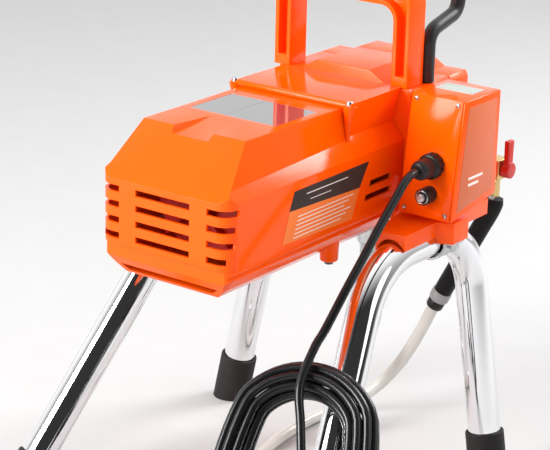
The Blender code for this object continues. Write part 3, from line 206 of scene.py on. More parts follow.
ORANGE = (0.96, 0.092, 0.0005)
SLOTS = {
    "shroud_orange": finish("shroud orange", ORANGE, (0.09, 0.14), specular=0.20,
                            tint=(0.95, 0.084, 0.0005), bump=(420, 0.00001)),
    "cast_orange": finish("cast orange", (0.95, 0.088, 0.0005), (0.18, 0.27), specular=0.25,
                          tint=(0.93, 0.080, 0.0005), bump=(500, 0.00004)),
    "handle_orange": finish("handle orange", ORANGE, (0.14, 0.22), specular=0.22,
                            tint=(0.95, 0.084, 0.0005), bump=(600, 0.00002)),
    "panel_orange": finish("panel orange", (0.64, 0.135, 0.045), (0.40, 0.52),
                           tint=(0.60, 0.125, 0.042), bump=(900, 0.00002)),
    "chrome": finish("chrome", (0.90, 0.90, 0.91), (0.03, 0.07), metallic=1.0,
                     tint=(0.84, 0.84, 0.86)),
    "foot_rubber": finish("foot rubber", (0.013, 0.011, 0.011), (0.50, 0.68), specular=0.2,
                          tint=(0.018, 0.016, 0.016), bump=(900, 0.00012)),
    "hook_black": finish("hook black", (0.016, 0.016, 0.017), (0.35, 0.48),
                         tint=(0.022, 0.022, 0.023), bump=(1200, 0.00005)),
    "gland_black": finish("nylon black", (0.010, 0.008, 0.008), (0.28, 0.38), specular=0.3,
                          tint=(0.020, 0.017, 0.017), bump=(1400, 0.00003)),
    "cord_black": finish("cord black", (0.005, 0.005, 0.006), (0.20, 0.30), specular=0.4,
                         tint=(0.008, 0.008, 0.009), bump=(1500, 0.00002)),
    "sleeve_black": finish("sleeve black", (0.007, 0.006, 0.006), (0.35, 0.50), specular=0.15,
                           tint=(0.011, 0.010, 0.010), bump=(1000, 0.00004)),
    "hose_clear": finish("clear hose", (0.80, 0.78, 0.74), (0.14, 0.24), transmission=0.35,
                         tint=(0.74, 0.71, 0.66), tint_scale=40.0),
    "steel": finish("steel", (0.60, 0.61, 0.62), (0.22, 0.34), metallic=1.0,
                    tint=(0.52, 0.53, 0.54), bump=(700, 0.00002)),
    "dark_steel": finish("dark steel", (0.13, 0.13, 0.14), (0.35, 0.50), metallic=1.0,
                         tint=(0.17, 0.17, 0.18), bump=(800, 0.00003)),
    "aluminium": finish("aluminium", (0.72, 0.73, 0.74), (0.32, 0.46), metallic=1.0,
                        tint=(0.64, 0.65, 0.66), bump=(900, 0.00004)),
    "winding": finish("copper winding", (0.62, 0.24, 0.10), (0.30, 0.45), metallic=1.0,
                      tint=(0.50, 0.18, 0.08), bump=(500, 0.0002)),
    "brass": finish("brass", (0.74, 0.52, 0.22), (0.20, 0.34), metallic=1.0,
                    tint=(0.66, 0.46, 0.20), bump=(800, 0.00002)),
    "fan_red": finish("fan red", (0.50, 0.012, 0.006), (0.35, 0.48),
                      tint=(0.45, 0.010, 0.005), bump=(900, 0.00003)),
    "handle_red": finish("lever red", (0.52, 0.014, 0.008), (0.30, 0.42),
                         tint=(0.46, 0.012, 0.007), bump=(900, 0.00003)),
    "board": finish("board green", (0.03, 0.16, 0.06), (0.30, 0.45),
                    tint=(0.02, 0.12, 0.05), bump=(700, 0.00003)),
}
EXTRA = {
    "label_grey": finish("label grey", (0.055, 0.057, 0.060), (0.05, 0.09), coat=0.9,
                         tint=(0.065, 0.067, 0.070)),
    "label_charcoal": finish("label charcoal", (0.026, 0.022, 0.020), (0.35, 0.45), specular=0.2,
                             tint=(0.036, 0.031, 0.028), bump=(1500, 0.00001)),
    "label_amber": finish("label amber", (0.86, 0.190, 0.036), (0.30, 0.40), specular=0.2,
                          tint=(0.83, 0.180, 0.033), bump=(1500, 0.00001)),
    "label_pale": finish("label pale", (0.38, 0.43, 0.40), (0.25, 0.35),
                         tint=(0.34, 0.39, 0.36)),
    "print_white": finish("print white", (0.80, 0.74, 0.70), (0.35, 0.45),
                          tint=(0.76, 0.70, 0.66)),
    "band_grey": finish("band grey", (0.30, 0.30, 0.31), (0.30, 0.42),
                        tint=(0.26, 0.26, 0.27), bump=(900, 0.00003)),
    "floor": finish("floor", (0.50, 0.50, 0.50), (0.75, 0.85), specular=0.1,
                    tint=(0.49, 0.49, 0.49)),
}


def coated(obj, slot):
    obj.data.materials.clear()
    obj.data.materials.append(SLOTS.get(slot) or EXTRA[slot])


for node, slot_name in SLOT_OF.items():
    coated(NODES[node], slot_name)


# ---------------------------------------------------------------- shapes

def made(name, bm):
    """Object in the row frame from a mesh written in the machine's own places."""
    bmesh.ops.recalc_face_normals(bm, faces=bm.faces)
    bmesh.ops.translate(bm, vec=(0, NOSE_Y, 0), verts=bm.verts)
    mesh = bpy.data.meshes.new(name)
    bm.to_mesh(mesh)
    bm.free()
    obj = bpy.data.objects.new(name, mesh)
    bpy.context.scene.collection.objects.link(obj)
    return obj


def settle(obj):
    """Makes the modifiers part of the mesh."""
    graph = bpy.context.evaluated_depsgraph_get()
    graph.update()
    done = bpy.data.meshes.new_from_object(obj.evaluated_get(graph))
    obj.modifiers.clear()
    obj.data = done
    return obj


def combine(obj, bm, operation="DIFFERENCE"):
    tool = made("tool", bm)
    change = obj.modifiers.new("change", "BOOLEAN")
    change.operation = operation
    change.solver = "EXACT"
    change.object = tool
    settle(obj)
    bpy.data.objects.remove(tool)
    return obj


def soften(obj, width, segments=3, angle=28.0):
    """Rounds the edges, as a mould or a casting does."""
    tidy = bmesh.new()
    tidy.from_mesh(obj.data)
    bmesh.ops.remove_doubles(tidy, verts=tidy.verts, dist=1e-5)
    bmesh.ops.dissolve_limit(tidy, angle_limit=math.radians(0.6), verts=tidy.verts,
                             edges=tidy.edges)
    tidy.to_mesh(obj.data)
    tidy.free()
    bevel = obj.modifiers.new("bevel", "BEVEL")
    bevel.width = width
    bevel.segments = segments
    bevel.limit_method = "ANGLE"
    bevel.angle_limit = math.radians(angle)
    bevel.harden_normals = False
    return settle(obj)


def placed(obj, slot, body="root", replaces=()):
    """Gives a finished piece its finish and its body, and hides the CAD nodes it stands for."""
    obj.data.shade_smooth()
    obj.data.set_sharp_from_angle(angle=math.radians(38))
    coated(obj, slot)
    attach(obj, body)
    if replaces:
        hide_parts(*replaces)
    return obj


def copied(node, name):
    """A copy of a CAD node's mesh, to be worked up into the finished piece."""
    obj = NODES[node].copy()
    obj.data = NODES[node].data.copy()
    obj.name = name
    obj.parent = None
    obj.matrix_world = Matrix.Identity(4)
    for key in list(obj.keys()):
        del obj[key]
    bpy.context.scene.collection.objects.link(obj)
    return obj


def spot(axis, u, v, along):
    if axis == "X":
        return Vector((along, u, v))
    if axis == "Y":
        return Vector((u, along, v))
    return Vector((u, v, along))


def skin(bm, rings, joined=False):
    loops = [[bm.verts.new(point) for point in ring] for ring in rings]
    pairs = list(zip(loops, loops[1:]))
    if joined:
        pairs.append((loops[-1], loops[0]))
    for lower, upper in pairs:
        for i in range(len(lower)):
            j = (i + 1) % len(lower)
            bm.faces.new((lower[i], lower[j], upper[j], upper[i]))
    if not joined:
        bm.faces.new(loops[0])
        bm.faces.new(loops[-1])
    return bm


def prism(axis, outline, low, high, bm=None):
    rings = [[spot(axis, u, v, along) for u, v in outline] for along in (low, high)]
    return skin(bm or bmesh.new(), rings)


def block(low, high, bm=None):
    outline = ((low[0], low[1]), (high[0], low[1]), (high[0], high[1]), (low[0], high[1]))
    return prism("Z", outline, low[2], high[2], bm)


def arc(centre, radius, start, end, steps):
    angles = [math.radians(start + (end - start) * k / steps) for k in range(steps + 1)]
    return [(centre[0] + radius * math.cos(a), centre[1] + radius * math.sin(a)) for a in angles]


def turned(axis, profile, centre=(0, 0, 0), steps=56, bm=None, joined=False):
    """A profile of (radius, place along the axis) turned about the axis through centre."""
    rings = []
    for radius, along in profile:
        turns = [2 * math.pi * (k + 0.5) / steps for k in range(steps)]
        rings.append([spot(axis, radius * math.cos(a), radius * math.sin(a), along)
                      + Vector(centre) for a in turns])
    return skin(bm or bmesh.new(), rings, joined)


def rounded(profile, soft, steps=4):
    """The profile with its inner corners rounded off."""
    points = [Vector(p) for p in profile]
    out = [points[0]]
    for before, corner, after in zip(points, points[1:], points[2:]):
        near, far = before - corner, after - corner
        reach = min(soft, near.length * 0.45, far.length * 0.45)
        start, end = corner + near.normalized() * reach, corner + far.normalized() * reach
        for k in range(steps + 1):
            t = k / steps
            out.append((1 - t) ** 2 * start + 2 * t * (1 - t) * corner + t ** 2 * end)
    out.append(points[-1])
    return [(p.x, p.y) for p in out]


def bend(before, corner, after, radius, steps):
    arriving = (corner - before).normalized()
    leaving = (after - corner).normalized()
    turn = arriving.angle(leaving)
    start = corner - arriving * radius * math.tan(turn / 2)
    inward = (leaving - arriving * math.cos(turn)) / math.sin(turn)
    return [start + radius * (arriving * math.sin(turn * k / steps)
                              + inward * (1 - math.cos(turn * k / steps)))
            for k in range(steps + 1)]


def smooth(route, spacing):
    """Evenly spaced points on a Catmull-Rom curve through the route."""
    knots = [Vector(point) for point in route]
    knots = [2 * knots[0] - knots[1]] + knots + [2 * knots[-1] - knots[-2]]
    dense = []
    for a, b, c, d in zip(knots, knots[1:], knots[2:], knots[3:]):
        for k in range(12):
            t = k / 12
            dense.append(0.5 * (2 * b + (c - a) * t + (2 * a - 5 * b + 4 * c - d) * t ** 2
                                + (3 * b - a - 3 * c + d) * t ** 3))
    dense.append(knots[-2])
    length = sum((q - p).length for p, q in zip(dense, dense[1:]))
    count = max(2, round(length / spacing))
    points, done, wanted = [dense[0]], 0.0, 1
    for p, q in zip(dense, dense[1:]):
        step = (q - p).length
        while wanted < count and done + step >= length * wanted / count:
            points.append(p.lerp(q, (length * wanted / count - done) / step))
            wanted += 1
        done += step
    points.append(dense[-1])
    return points


def sweep(path, radii, sides=40, hint=Vector((1, 0, 0))):
    """A round tube along a path. A radius for each point, or one for all."""
    rings = []
    for i, point in enumerate(path):
        tangent = (path[min(i + 1, len(path) - 1)] - path[max(i - 1, 0)]).normalized()
        across = tangent.cross(hint).normalized()
        other = tangent.cross(across)
        radius = radii[i] if isinstance(radii, list) else radii
        rings.append([point + radius * (across * math.cos(a) + other * math.sin(a))
                      for a in (2 * math.pi * k / sides for k in range(sides))])
    return skin(bmesh.new(), rings)


def cord_curve(name, points, radius, slot):
    curve = bpy.data.curves.new(name, "CURVE")
    curve.dimensions = "3D"
    curve.bevel_depth = radius
    curve.bevel_resolution = 4
    curve.use_fill_caps = True
    spline = curve.splines.new("POLY")
    spline.points.add(len(points) - 1)
    for knot, point in zip(spline.points, points):
        knot.co = (*shift(point), 1)
    spline.use_smooth = True
    obj = bpy.data.objects.new(name, curve)
    bpy.context.scene.collection.objects.link(obj)
    coated(obj, slot)
    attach(obj, "root")
    return obj


# ---------------------------------------------------------------- camera

def make_camera():
    back = Vector((math.sin(AZIMUTH) * math.cos(ELEVATION),
                   -math.cos(AZIMUTH) * math.cos(ELEVATION), math.sin(ELEVATION)))
    right = Vector((math.cos(AZIMUTH), math.sin(AZIMUTH), 0))
    up = back.cross(right)
    across = math.cos(ROLL) * right + math.sin(ROLL) * up
    upright = math.cos(ROLL) * up - math.sin(ROLL) * right
    lens = bpy.data.cameras.new("camera")
    lens.lens, lens.sensor_width = LENS, SENSOR
    lens.clip_start, lens.clip_end = 0.05, 50
    camera = bpy.data.objects.new("camera", lens)
    turn = Matrix((across, upright, back)).transposed().to_4x4()
    camera.matrix_world = Matrix.Translation(shift(CAMERA_AT)) @ turn
    bpy.context.scene.collection.objects.link(camera)
    bpy.context.scene.camera = camera
    return back


view_back = make_camera()


# ---------------------------------------------------------------- cords

def coil_frame():
    top = Vector((TUBE_X, REAR_BEND_Y, TUBE_Z))
    down = (REAR_FOOT - top).normalized()
    side = Vector((-down.y, down.x, 0)).normalized()
    normal = side.cross(down).normalized()
    if normal.y > 0:
        normal = -normal
    reach = (COIL_LENGTH - COIL_THICK) / 2 * abs(down.z) + COIL_THICK / 2
    on_leg = REAR_FOOT - down * ((reach + 0.0005 - COIL_CLEAR * normal.z) / abs(down.z))
    return on_leg + normal * COIL_CLEAR + side * COIL_SHIFT, down, side, normal


COIL_MID, DOWN, SIDE, FACE = coil_frame()


def in_coil(u, v, w):
    return COIL_MID + SIDE * u + DOWN * v + FACE * w


def stadium(angle):
    """Point and outward direction on the coil's loop. 0 degrees is the +side, 90 the bottom."""
    turn = math.radians(angle)
    out = Vector((math.cos(turn), math.sin(turn)))
    shift_v = max(-1.0, min(1.0, out.y * 1.9)) * COIL_HALF
    return Vector((COIL_OUT * out.x, COIL_OUT * out.y + shift_v)), out


def coil_points():
    total = COIL_TURNS * 360.0 + COIL_END - COIL_START
    count = int(total / 6)
    points = []
    for k in range(count + 1):
        swept = total * k / count
        middle, out = stadium(COIL_START + swept)
        turns = swept / 360.0
        phase = math.radians(150) + STRAND_TURN * turns
        loose = 1.0 + 0.035 * math.sin(turns * 5.1 + 0.6)
        spread = BUNDLE * loose
        u = middle.x + out.x * spread * math.cos(phase)
        v = middle.y + out.y * spread * math.cos(phase)
        points.append(in_coil(u, v, spread * math.sin(phase)))
    return points


def make_cord():
    over = [in_coil(-0.004, -0.088, 0.0235), in_coil(0.004, -0.055, 0.0215),
            in_coil(0.012, -0.015, 0.0180), in_coil(0.012, 0.025, 0.0150),
            in_coil(0.002, 0.058, 0.0120)]
    coil = coil_points()
    lead = smooth(list(LEAD_ROUTE) + over + coil[1:4], 0.006)
    leaving = [coil[-3], coil[-1], Vector((0.1150, -0.0755, 0.0175))]
    tail = smooth(leaving + list(TAIL_ROUTE), 0.006)
    points = lead[:-1] + coil[4:-3] + tail
    cord = cord_curve("mains_cord", points, CORD_RADIUS, "cord_black")
    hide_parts("cord_lead", "cord_coil", "cord_tail")
    end = Vector(TAIL_ROUTE[-1])
    profile = rounded(((CORD_RADIUS + 0.0012, 0.026), (0.0062, 0.006), (0.0072, -0.010),
                       (0.0148, -0.020), (0.0148, -0.040), (0.0135, -0.0418), (0.0, -0.0418)),
                      0.003)[:-1]
    plug = made("plug_body", turned("X", profile, (end.x, end.y, end.z)))
    rings = bmesh.new()
    for k in range(4):
        along = 0.020 - k * 0.0055
        ring_profile = rounded(((0.0050, along + 0.0014), (0.0078, along + 0.0008),
                                (0.0078, along - 0.0008), (0.0050, along - 0.0014)), 0.0005)
        turned("X", ring_profile, (end.x, end.y, end.z), bm=rings)
    combine(plug, rings, "UNION")
    placed(plug, "gland_black", replaces=("mains_plug",))
    pins = bmesh.new()
    for offset in (-0.0095, 0.0095):
        pin = rounded(((0.0001, -0.0606), (0.0024, -0.0598), (0.0024, -0.040)), 0.0012)
        turned("X", pin, (end.x, end.y + offset, end.z), 24, pins)
    pins = placed(made("plug_pins", pins), "steel")
    top = in_coil(-0.058, -0.010, 0)
    loop = []
    for k in range(25):
        angle = 2 * math.pi * k / 24
        radius = BUNDLE + CORD_RADIUS + 0.0022
        loop.append(top + (SIDE * math.cos(angle) + FACE * math.sin(angle)) * radius)
    tie = bmesh.new()
    rings = []
    for k in range(24):
        out = (loop[k] - top).normalized()
        rings.append([loop[k] + out * a + DOWN * b for a, b in (
            (-0.0008, -0.004), (0.0010, -0.0032), (0.0010, 0.0032), (-0.0008, 0.004))])
    skin(tie, rings, True)
    tie = placed(made("cord_tie", tie), "gland_black")


def make_drain_hose():
    points = smooth(list(SLEEVE_ROUTE) + list(DRAIN_ROUTE), 0.006)
    hose = cord_curve("drain_line", points, HOSE_RADIUS, "hose_clear")
    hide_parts("drain_hose")
    covered = smooth(SLEEVE_ROUTE, 0.005)
    radii = [0.0095 if 0 < i < len(covered) - 1 else 0.0088 for i in range(len(covered))]
    sleeve = placed(made("hose_sleeve", sweep(covered, radii)), "sleeve_black",
                    replaces=("drain_sleeve",))
    last, before = covered[-1], covered[-2]
    line = (last - before).normalized()
    for name, slot, near, far, radius in (
            ("hose_band", "band_grey", -0.004, 0.007, 0.0104),
            ("hose_collar", "gland_black", 0.0075, 0.017, 0.0090)):
        path = [last + line * (near + (far - near) * t) for t in (0, 0.12, 0.88, 1)]
        shape = sweep(path, [radius * 0.93, radius, radius, radius * 0.93])
        placed(made(name, shape), slot)
    tip = Vector(DRAIN_ROUTE[-1])
    heading = (tip - Vector(DRAIN_ROUTE[-2])).normalized()
    along = (-0.006, -0.005, 0.0, 0.0005, 0.023, 0.028)
    size = [0.0066, 0.0072, 0.0072, 0.0075, 0.0075, 0.0045]
    end = placed(made("drain_end", sweep([tip + heading * a + Vector((0, 0, 0.0011))
                                          for a in along], size)),
                 "steel", replaces=("drain_tip",))


make_cord()
make_drain_hose()


# ---------------------------------------------------------------- shroud

def mirrored(outline):
    return list(outline) + [(-x, z) for x, z in reversed(outline)]


def shroud_solid(inset, low, end):
    """The shroud's outside, or its inside when there is an inset."""
    stations = ((inset, 0.0665, 0.3500, 0.0560, TOP_Z), (0.110, 0.0635, 0.3525, 0.0565, TOP_Z),
                (RIDGE_Y + 0.008, 0.0610, 0.3545, 0.0575, TOP_Z))
    rings = []
    for y, mid, mid_z, top, top_z in stations:
        outline = mirrored(((BELT - inset, low), (BELT - inset, BELT_HIGH - inset),
                            (mid - inset, mid_z - inset), (top - inset, top_z - inset)))
        rings.append([Vector((x, y, z)) for x, z in outline])
    shell = made("shroud_shell", skin(bmesh.new(), rings))
    slope = ((inset, low - 0.01), (inset, BELT_HIGH - inset), (FACET + inset, TOP_Z - inset),
             (0.3, TOP_Z - inset), (0.3, low - 0.01))
    combine(shell, prism("X", slope, -0.1, 0.1), "INTERSECT")
    corner = NOSE_CORNER - inset
    half = BELT - inset
    plan = [(half, 0.3)] + arc((half - corner, inset + corner), corner, 0, -90, 16)
    combine(shell, prism("Z", mirrored(plan), low - 0.02, 0.42), "INTERSECT")
    front = ((BELT - inset, low), (BELT - inset, BELT_HIGH - inset),
             (0.0590 - inset, 0.3560 - inset), (0.0665 - inset, FRONT_TOP_Z - inset))
    combine(shell, prism("Y", mirrored(front), RIDGE_Y + inset, end), "UNION")
    return shell


def make_shroud():
    shell = shroud_solid(0.0, BELT_LOW, LENGTH)
    notch = bmesh.new()
    rings = []
    for y, half, floor_z in ((-0.01, 0.0215, 0.3775), (0.040, 0.0195, 0.3790),
                             (0.088, 0.0160, 0.3852)):
        rings.append([Vector((x, y, z)) for x, z in (
            (-half, floor_z), (half, floor_z), (half + 0.008, floor_z + 0.016),
            (-half - 0.008, floor_z + 0.016))])
    combine(shell, skin(notch, rings))
    soften(shell, 0.0026, 5, 16)
    inside = shroud_solid(WALL, BELT_LOW - 0.01, LENGTH + 0.01)
    combine(inside, block((-0.034, -0.02, TOP_Z - 0.0115), (0.034, 0.093, TOP_Z + 0.02)))
    hollow = bmesh.new()
    hollow.from_mesh(inside.data)
    bmesh.ops.translate(hollow, vec=(0, -NOSE_Y, 0), verts=hollow.verts)
    bpy.data.objects.remove(inside)
    combine(shell, hollow)
    vents = bmesh.new()
    for row in range(VENT_ROWS):
        z = VENT_TOP - row * VENT_PITCH
        low, high = z - VENT_HEIGHT / 2, z + VENT_HEIGHT / 2
        block((-VENT_HALF, -0.01, low), (VENT_HALF, WALL * 2, high), vents)
        reach = BELT + 0.01 if row < VENT_ROWS - 1 else BELT - NOSE_CORNER / 3
        depth = NOSE_CORNER - 0.002 * row
        for side in (-1, 1):
            near, far = sorted((side * VENT_GROUP_X, side * reach))
            block((near, -0.01, low), (far, depth, high), vents)
    for z, start, deep in SIDE_SLOTS:
        slot = ((start - 0.001, z - 0.003), (0.2480, z - 0.003), (0.2500, z + 0.003),
                (start + 0.001, z + 0.003))
        for side in (-1, 1):
            near, far = sorted((side * (BELT - deep), side * (BELT + 0.01)))
            prism("X", slot, near, far, vents)
    floor_z = TOP_Z - LABEL_POCKET
    block((-LABEL_HALF, LABEL_Y[0], floor_z), (LABEL_HALF, LABEL_Y[1], TOP_Z + 0.01), vents)
    combine(shell, vents)
    placed(shell, "shroud_orange", replaces=("shroud",))

    ridge = bmesh.new()
    turned("X", rounded(((0.0001, -0.0690), (0.0034, -0.0690), (0.0034, 0.0690),
                         (0.0001, 0.0690)), 0.002), (0, RIDGE_Y, FRONT_TOP_Z - 0.0016), 24, ridge)
    for side in (-1, 1):
        rings = []
        for share in (0.0, 0.25, 0.6, 1.0):
            middle = Vector((side * 0.0650, RIDGE_Y, FRONT_TOP_Z - 0.002)).lerp(
                Vector((side * 0.0615, RIDGE_Y + 0.0025, 0.3520)), share)
            radius = 0.0052 * (1 - share) ** 0.8 + 0.0012
            rings.append([middle + Vector((radius * math.cos(a), radius * math.sin(a), 0))
                          for a in (2 * math.pi * k / 24 for k in range(24))])
        skin(ridge, rings)
    placed(made("top_ridge", ridge), "shroud_orange")
    screws = bmesh.new()
    for side in (-1, 1):
        head = rounded(((0.0001, 0.3925), (0.0030, 0.3920), (0.0034, 0.3885)), 0.0016)
        turned("Z", head, (side * 0.0650, RIDGE_Y - 0.0005, 0), 28, screws)
    placed(made("ridge_screws", screws), "steel")

    near, far = LABEL_Y[0] + 0.0003, LABEL_Y[1] - 0.0003
    plate = block((0.0003 - LABEL_HALF, near, floor_z - 0.0002),
                  (LABEL_HALF - 0.0003, far, floor_z + 0.0004))
    placed(made("top_label", plate), "label_grey")
    line = block((-0.010, 0.097, floor_z + 0.0002), (-0.0096, 0.160, TOP_Z - 0.0001))
    placed(made("label_line", line), "band_grey")


def make_side_labels():
    """Generic two-part rating label on each side, with blank lines where text would be."""
    for side, word in ((1, "right"), (-1, "left")):
        face = side * BELT
        low, high = sorted((face - side * 0.0003, face + side * 0.00028))
        header = ((0.094, 0.3310), (0.210, 0.3320), (0.196, 0.3100), (0.087, 0.3140))
        body = ((0.087, 0.3140), (0.196, 0.3100), (0.1845, 0.2822), (0.0775, 0.2855))
        placed(made(f"label_header_{word}", prism("X", header, low, high)), "label_charcoal")
        placed(made(f"label_body_{word}", prism("X", body, low, high)), "label_amber")
        lines = bmesh.new()
        out = sorted((face + side * 0.0002, face + side * 0.00042))
        for row in range(6):
            z = 0.3065 - row * 0.0037
            lean = (0.3065 - z) * 0.38
            end = 0.186 - lean - 0.006 * (row % 3)
            block((out[0], 0.100 - lean, z - 0.0004), (out[1], end, z + 0.0004), lines)
        block((out[0], 0.112, 0.3245), (out[1], 0.176, 0.3253), lines)
        block((out[0], 0.118, 0.3185), (out[1], 0.150, 0.3191), lines)
        placed(made(f"label_lines_{word}", lines), "print_white")


def make_cover():
    high = BELT_LOW - 0.0003
    rings = []
    for y, grow in ((0.004, 0.0), (0.012, 0.004), (LENGTH - 0.0003, 0.004)):
        half = 0.047 + grow
        groove = BELT - 0.0045 + grow / 4
        outline = mirrored(((half, COVER_LOW), (half + 0.0125, 0.2605), (groove, 0.2700),
                            (groove - 0.001, 0.2730), (BELT - 0.0010, 0.2755),
                            (BELT - 0.0006, high)))
        rings.append([Vector((x, y, z)) for x, z in outline])
    cover = made("cover_shell", skin(bmesh.new(), rings))
    plan = [(BELT, 0.3)] + arc((BELT - 0.015, 0.0165), 0.0148, 0, -90, 12)
    combine(cover, prism("Z", mirrored(plan), 0.2, 0.3), "INTERSECT")
    lift = ((0.0015, 0.2835), (0.0015, 0.2705), (0.0150, 0.2495), (0.3, 0.2495), (0.3, 0.2835))
    combine(cover, prism("X", lift, -0.1, 0.1), "INTERSECT")
    soften(cover, 0.0014, 4, 14)
    for side in (-1, 1):
        boss = rounded(((0.0001, 0.2410), (0.0085, 0.2410), (0.0092, 0.2630)), 0.0018)
        combine(cover, turned("Z", boss, (side * BOSS_X, BOSS_Y, 0), 40), "UNION")
    inner = mirrored(((0.046, 0.2530), (0.0600, 0.2630), (BELT - 0.0072, 0.2730),
                      (BELT - 0.0072, high + 0.01)))
    combine(cover, prism("Y", inner, 0.006 + WALL, LENGTH + 0.01))
    bore = ((0.0023, 0.230), (0.0023, 0.270))
    for side in (-1, 1):
        combine(cover, turned("Z", bore, (side * BOSS_X, BOSS_Y, 0), 24))
    placed(cover, "shroud_orange", replaces=("bottom_cover",))


# ---------------------------------------------------------------- castings, handle and box

def worked(node, name, width, slot=None, body="root", segments=3, angle=24.0):
    obj = soften(copied(node, name), width, segments, angle)
    return placed(obj, slot or SLOT_OF[node], body, (node,))


def make_castings():
    worked("gear_housing", "housing_casting", 0.0020)
    worked("front_cover", "front_casting", 0.0022)
    worked("bearing_plate", "bearing_plate_casting", 0.0006)
    for word in ("left", "right"):
        worked(f"tube_saddle_{word}", f"saddle_{word}", 0.0022)
        worked(f"clamp_strap_{word}", f"clamp_{word}", 0.0006)
    worked("fluid_manifold", "manifold_block", 0.0012)
    flange = bmesh.new()
    for x, z in COVER_BOLTS:
        head = rounded(((0.0001, COVER_END + 0.0042), (0.0040, COVER_END + 0.0042),
                        (0.0043, COVER_END - 0.0004)), 0.0008)
        turned("Y", head, (x, 0, z), 28, flange)
    bolts = made("cover_bolts", flange)
    sockets = bmesh.new()
    socket = ((0.0021, COVER_END + 0.0022), (0.0021, COVER_END + 0.006))
    for x, z in COVER_BOLTS:
        turned("Y", socket, (x, 0, z), 6, sockets)
    combine(bolts, sockets)
    placed(bolts, "dark_steel")
    studs = bmesh.new()
    nut, end = (0.2478, 0.2524, 0.0047, 6), (0.2455, 0.2480, 0.0026, 20)
    for side in (-1, 1):
        for x in (side * (TUBE_X + CLAMP_BOLT_X), side * (TUBE_X - CLAMP_BOLT_X)):
            for low, high, radius, steps in (nut, end):
                turned("Z", ((radius, low), (radius, high)), (x, CLAMP_BOLT_Y, 0), steps, studs)
    placed(made("clamp_nuts", studs), "steel")


def make_handle():
    handle = copied("carry_handle", "handle_body")
    out, near = HANDLE_OUTER - CHANNEL_RIM, HANDLE_INNER + CHANNEL_RIM
    foot = HANDLE_BASE + 0.010
    bend_x, bend_z = HANDLE_OUTER - HANDLE_ROUND, HANDLE_TOP - HANDLE_ROUND
    grip_x, grip_z = HANDLE_INNER - GRIP_ROUND, HANDLE_TOP - GRIP_THICK - GRIP_ROUND
    channel = [(out, foot)]
    channel += arc((bend_x, bend_z), HANDLE_ROUND - CHANNEL_RIM, 0, 90, 8)
    channel += arc((-bend_x, bend_z), HANDLE_ROUND - CHANNEL_RIM, 90, 180, 8)
    channel += [(-out, foot), (-near, foot)]
    channel += arc((-grip_x, grip_z), GRIP_ROUND + CHANNEL_RIM, 180, 90, 6)
    channel += arc((grip_x, grip_z), GRIP_ROUND + CHANNEL_RIM, 90, 0, 6)
    channel += [(near, foot)]
    channel = [(HANDLE_X + x, z) for x, z in channel]
    combine(handle, prism("Y", channel, *CHANNEL_Y))
    soften(handle, 0.0016, 4, 20)
    placed(handle, "handle_orange", replaces=("carry_handle",))
    low, knee = Vector((HOOK_X, HOOK_Y, 0.3886)), Vector((HOOK_X, HOOK_Y, 0.436))
    far, tip = Vector((HOOK_X, HOOK_Y + 0.048, 0.448)), Vector((HOOK_X, HOOK_Y + 0.054, 0.476))
    path = [low, low + Vector((0, 0, 0.001))]
    path += bend(low, knee, far, 0.016, 14) + bend(knee, far, tip, 0.014, 14)
    path += [tip - Vector((0, 0, 0.003)), tip - Vector((0, 0, 0.001)), tip]
    radii = [HOOK_RADIUS] * (len(path) - 2) + [0.0062, 0.0040]
    placed(made("hose_hook_rod", sweep(path, radii)), "hook_black", replaces=("hose_hook",))


def make_box():
    worked("control_box", "box_shell", 0.0022)
    lid = soften(copied("control_panel", "box_lid"), 0.0009, 3, 24)
    placed(lid, "shroud_orange", replaces=("control_panel",))
    inset = 0.0065
    sticker = ((BOX_REAR_TOP[0] + inset, BOX_REAR_TOP[1] - inset),
               (BOX_REAR_LOW[0] + inset, BOX_REAR_LOW[1] + inset),
               (BOX_FRONT - inset, BOX_FRONT_LOW + inset),
               (BOX_FRONT - inset, BOX_REAR_TOP[1] - inset))
    panel = made("box_sticker", prism("X", sticker, BOX_FACE - 0.0004, BOX_FACE + 0.0003))
    placed(soften(panel, 0.0002, 2), "panel_orange")
    marks = bmesh.new()
    for z, start, end in ((0.318, 0.258, 0.283), (0.312, 0.258, 0.276)):
        block((BOX_FACE + 0.0001, start, z), (BOX_FACE + 0.0005, end, z + 0.0024), marks)
    placed(made("sticker_marks", marks), "print_white")
    strip = made("top_strip", block((0.100, 0.2745, 0.3936), (0.140, 0.2965, 0.3944)))
    placed(soften(strip, 0.0002, 2), "label_pale")
    screws = bmesh.new()
    for x, y, z in BOX_SCREWS:
        head = rounded(((0.0001, y - 0.0014), (0.0022, y - 0.0012), (0.0026, y + 0.003)), 0.001)
        turned("Y", head, (x, 0, z), 24, screws)
    placed(made("box_screws", screws), "steel")
    dial = bmesh.new()
    for k in range(DIAL_MARKS):
        turn = math.radians(DIAL_FIRST - DIAL_STEP * k)
        middle = Vector((KNOB_X + DIAL_RADIUS * math.cos(turn), 0,
                         KNOB_Z + DIAL_RADIUS * math.sin(turn)))
        along = Vector((math.cos(turn), 0, math.sin(turn))) * 0.0018
        wide = Vector((-math.sin(turn), 0, math.cos(turn))) * 0.0004
        outline = [middle - along - wide, middle + along - wide, middle + along + wide,
                   middle - along + wide]
        prism("Y", [(p.x, p.z) for p in outline], KNOB_START - 0.0005, KNOB_START, dial)
    placed(made("dial_marks", dial), "print_white")


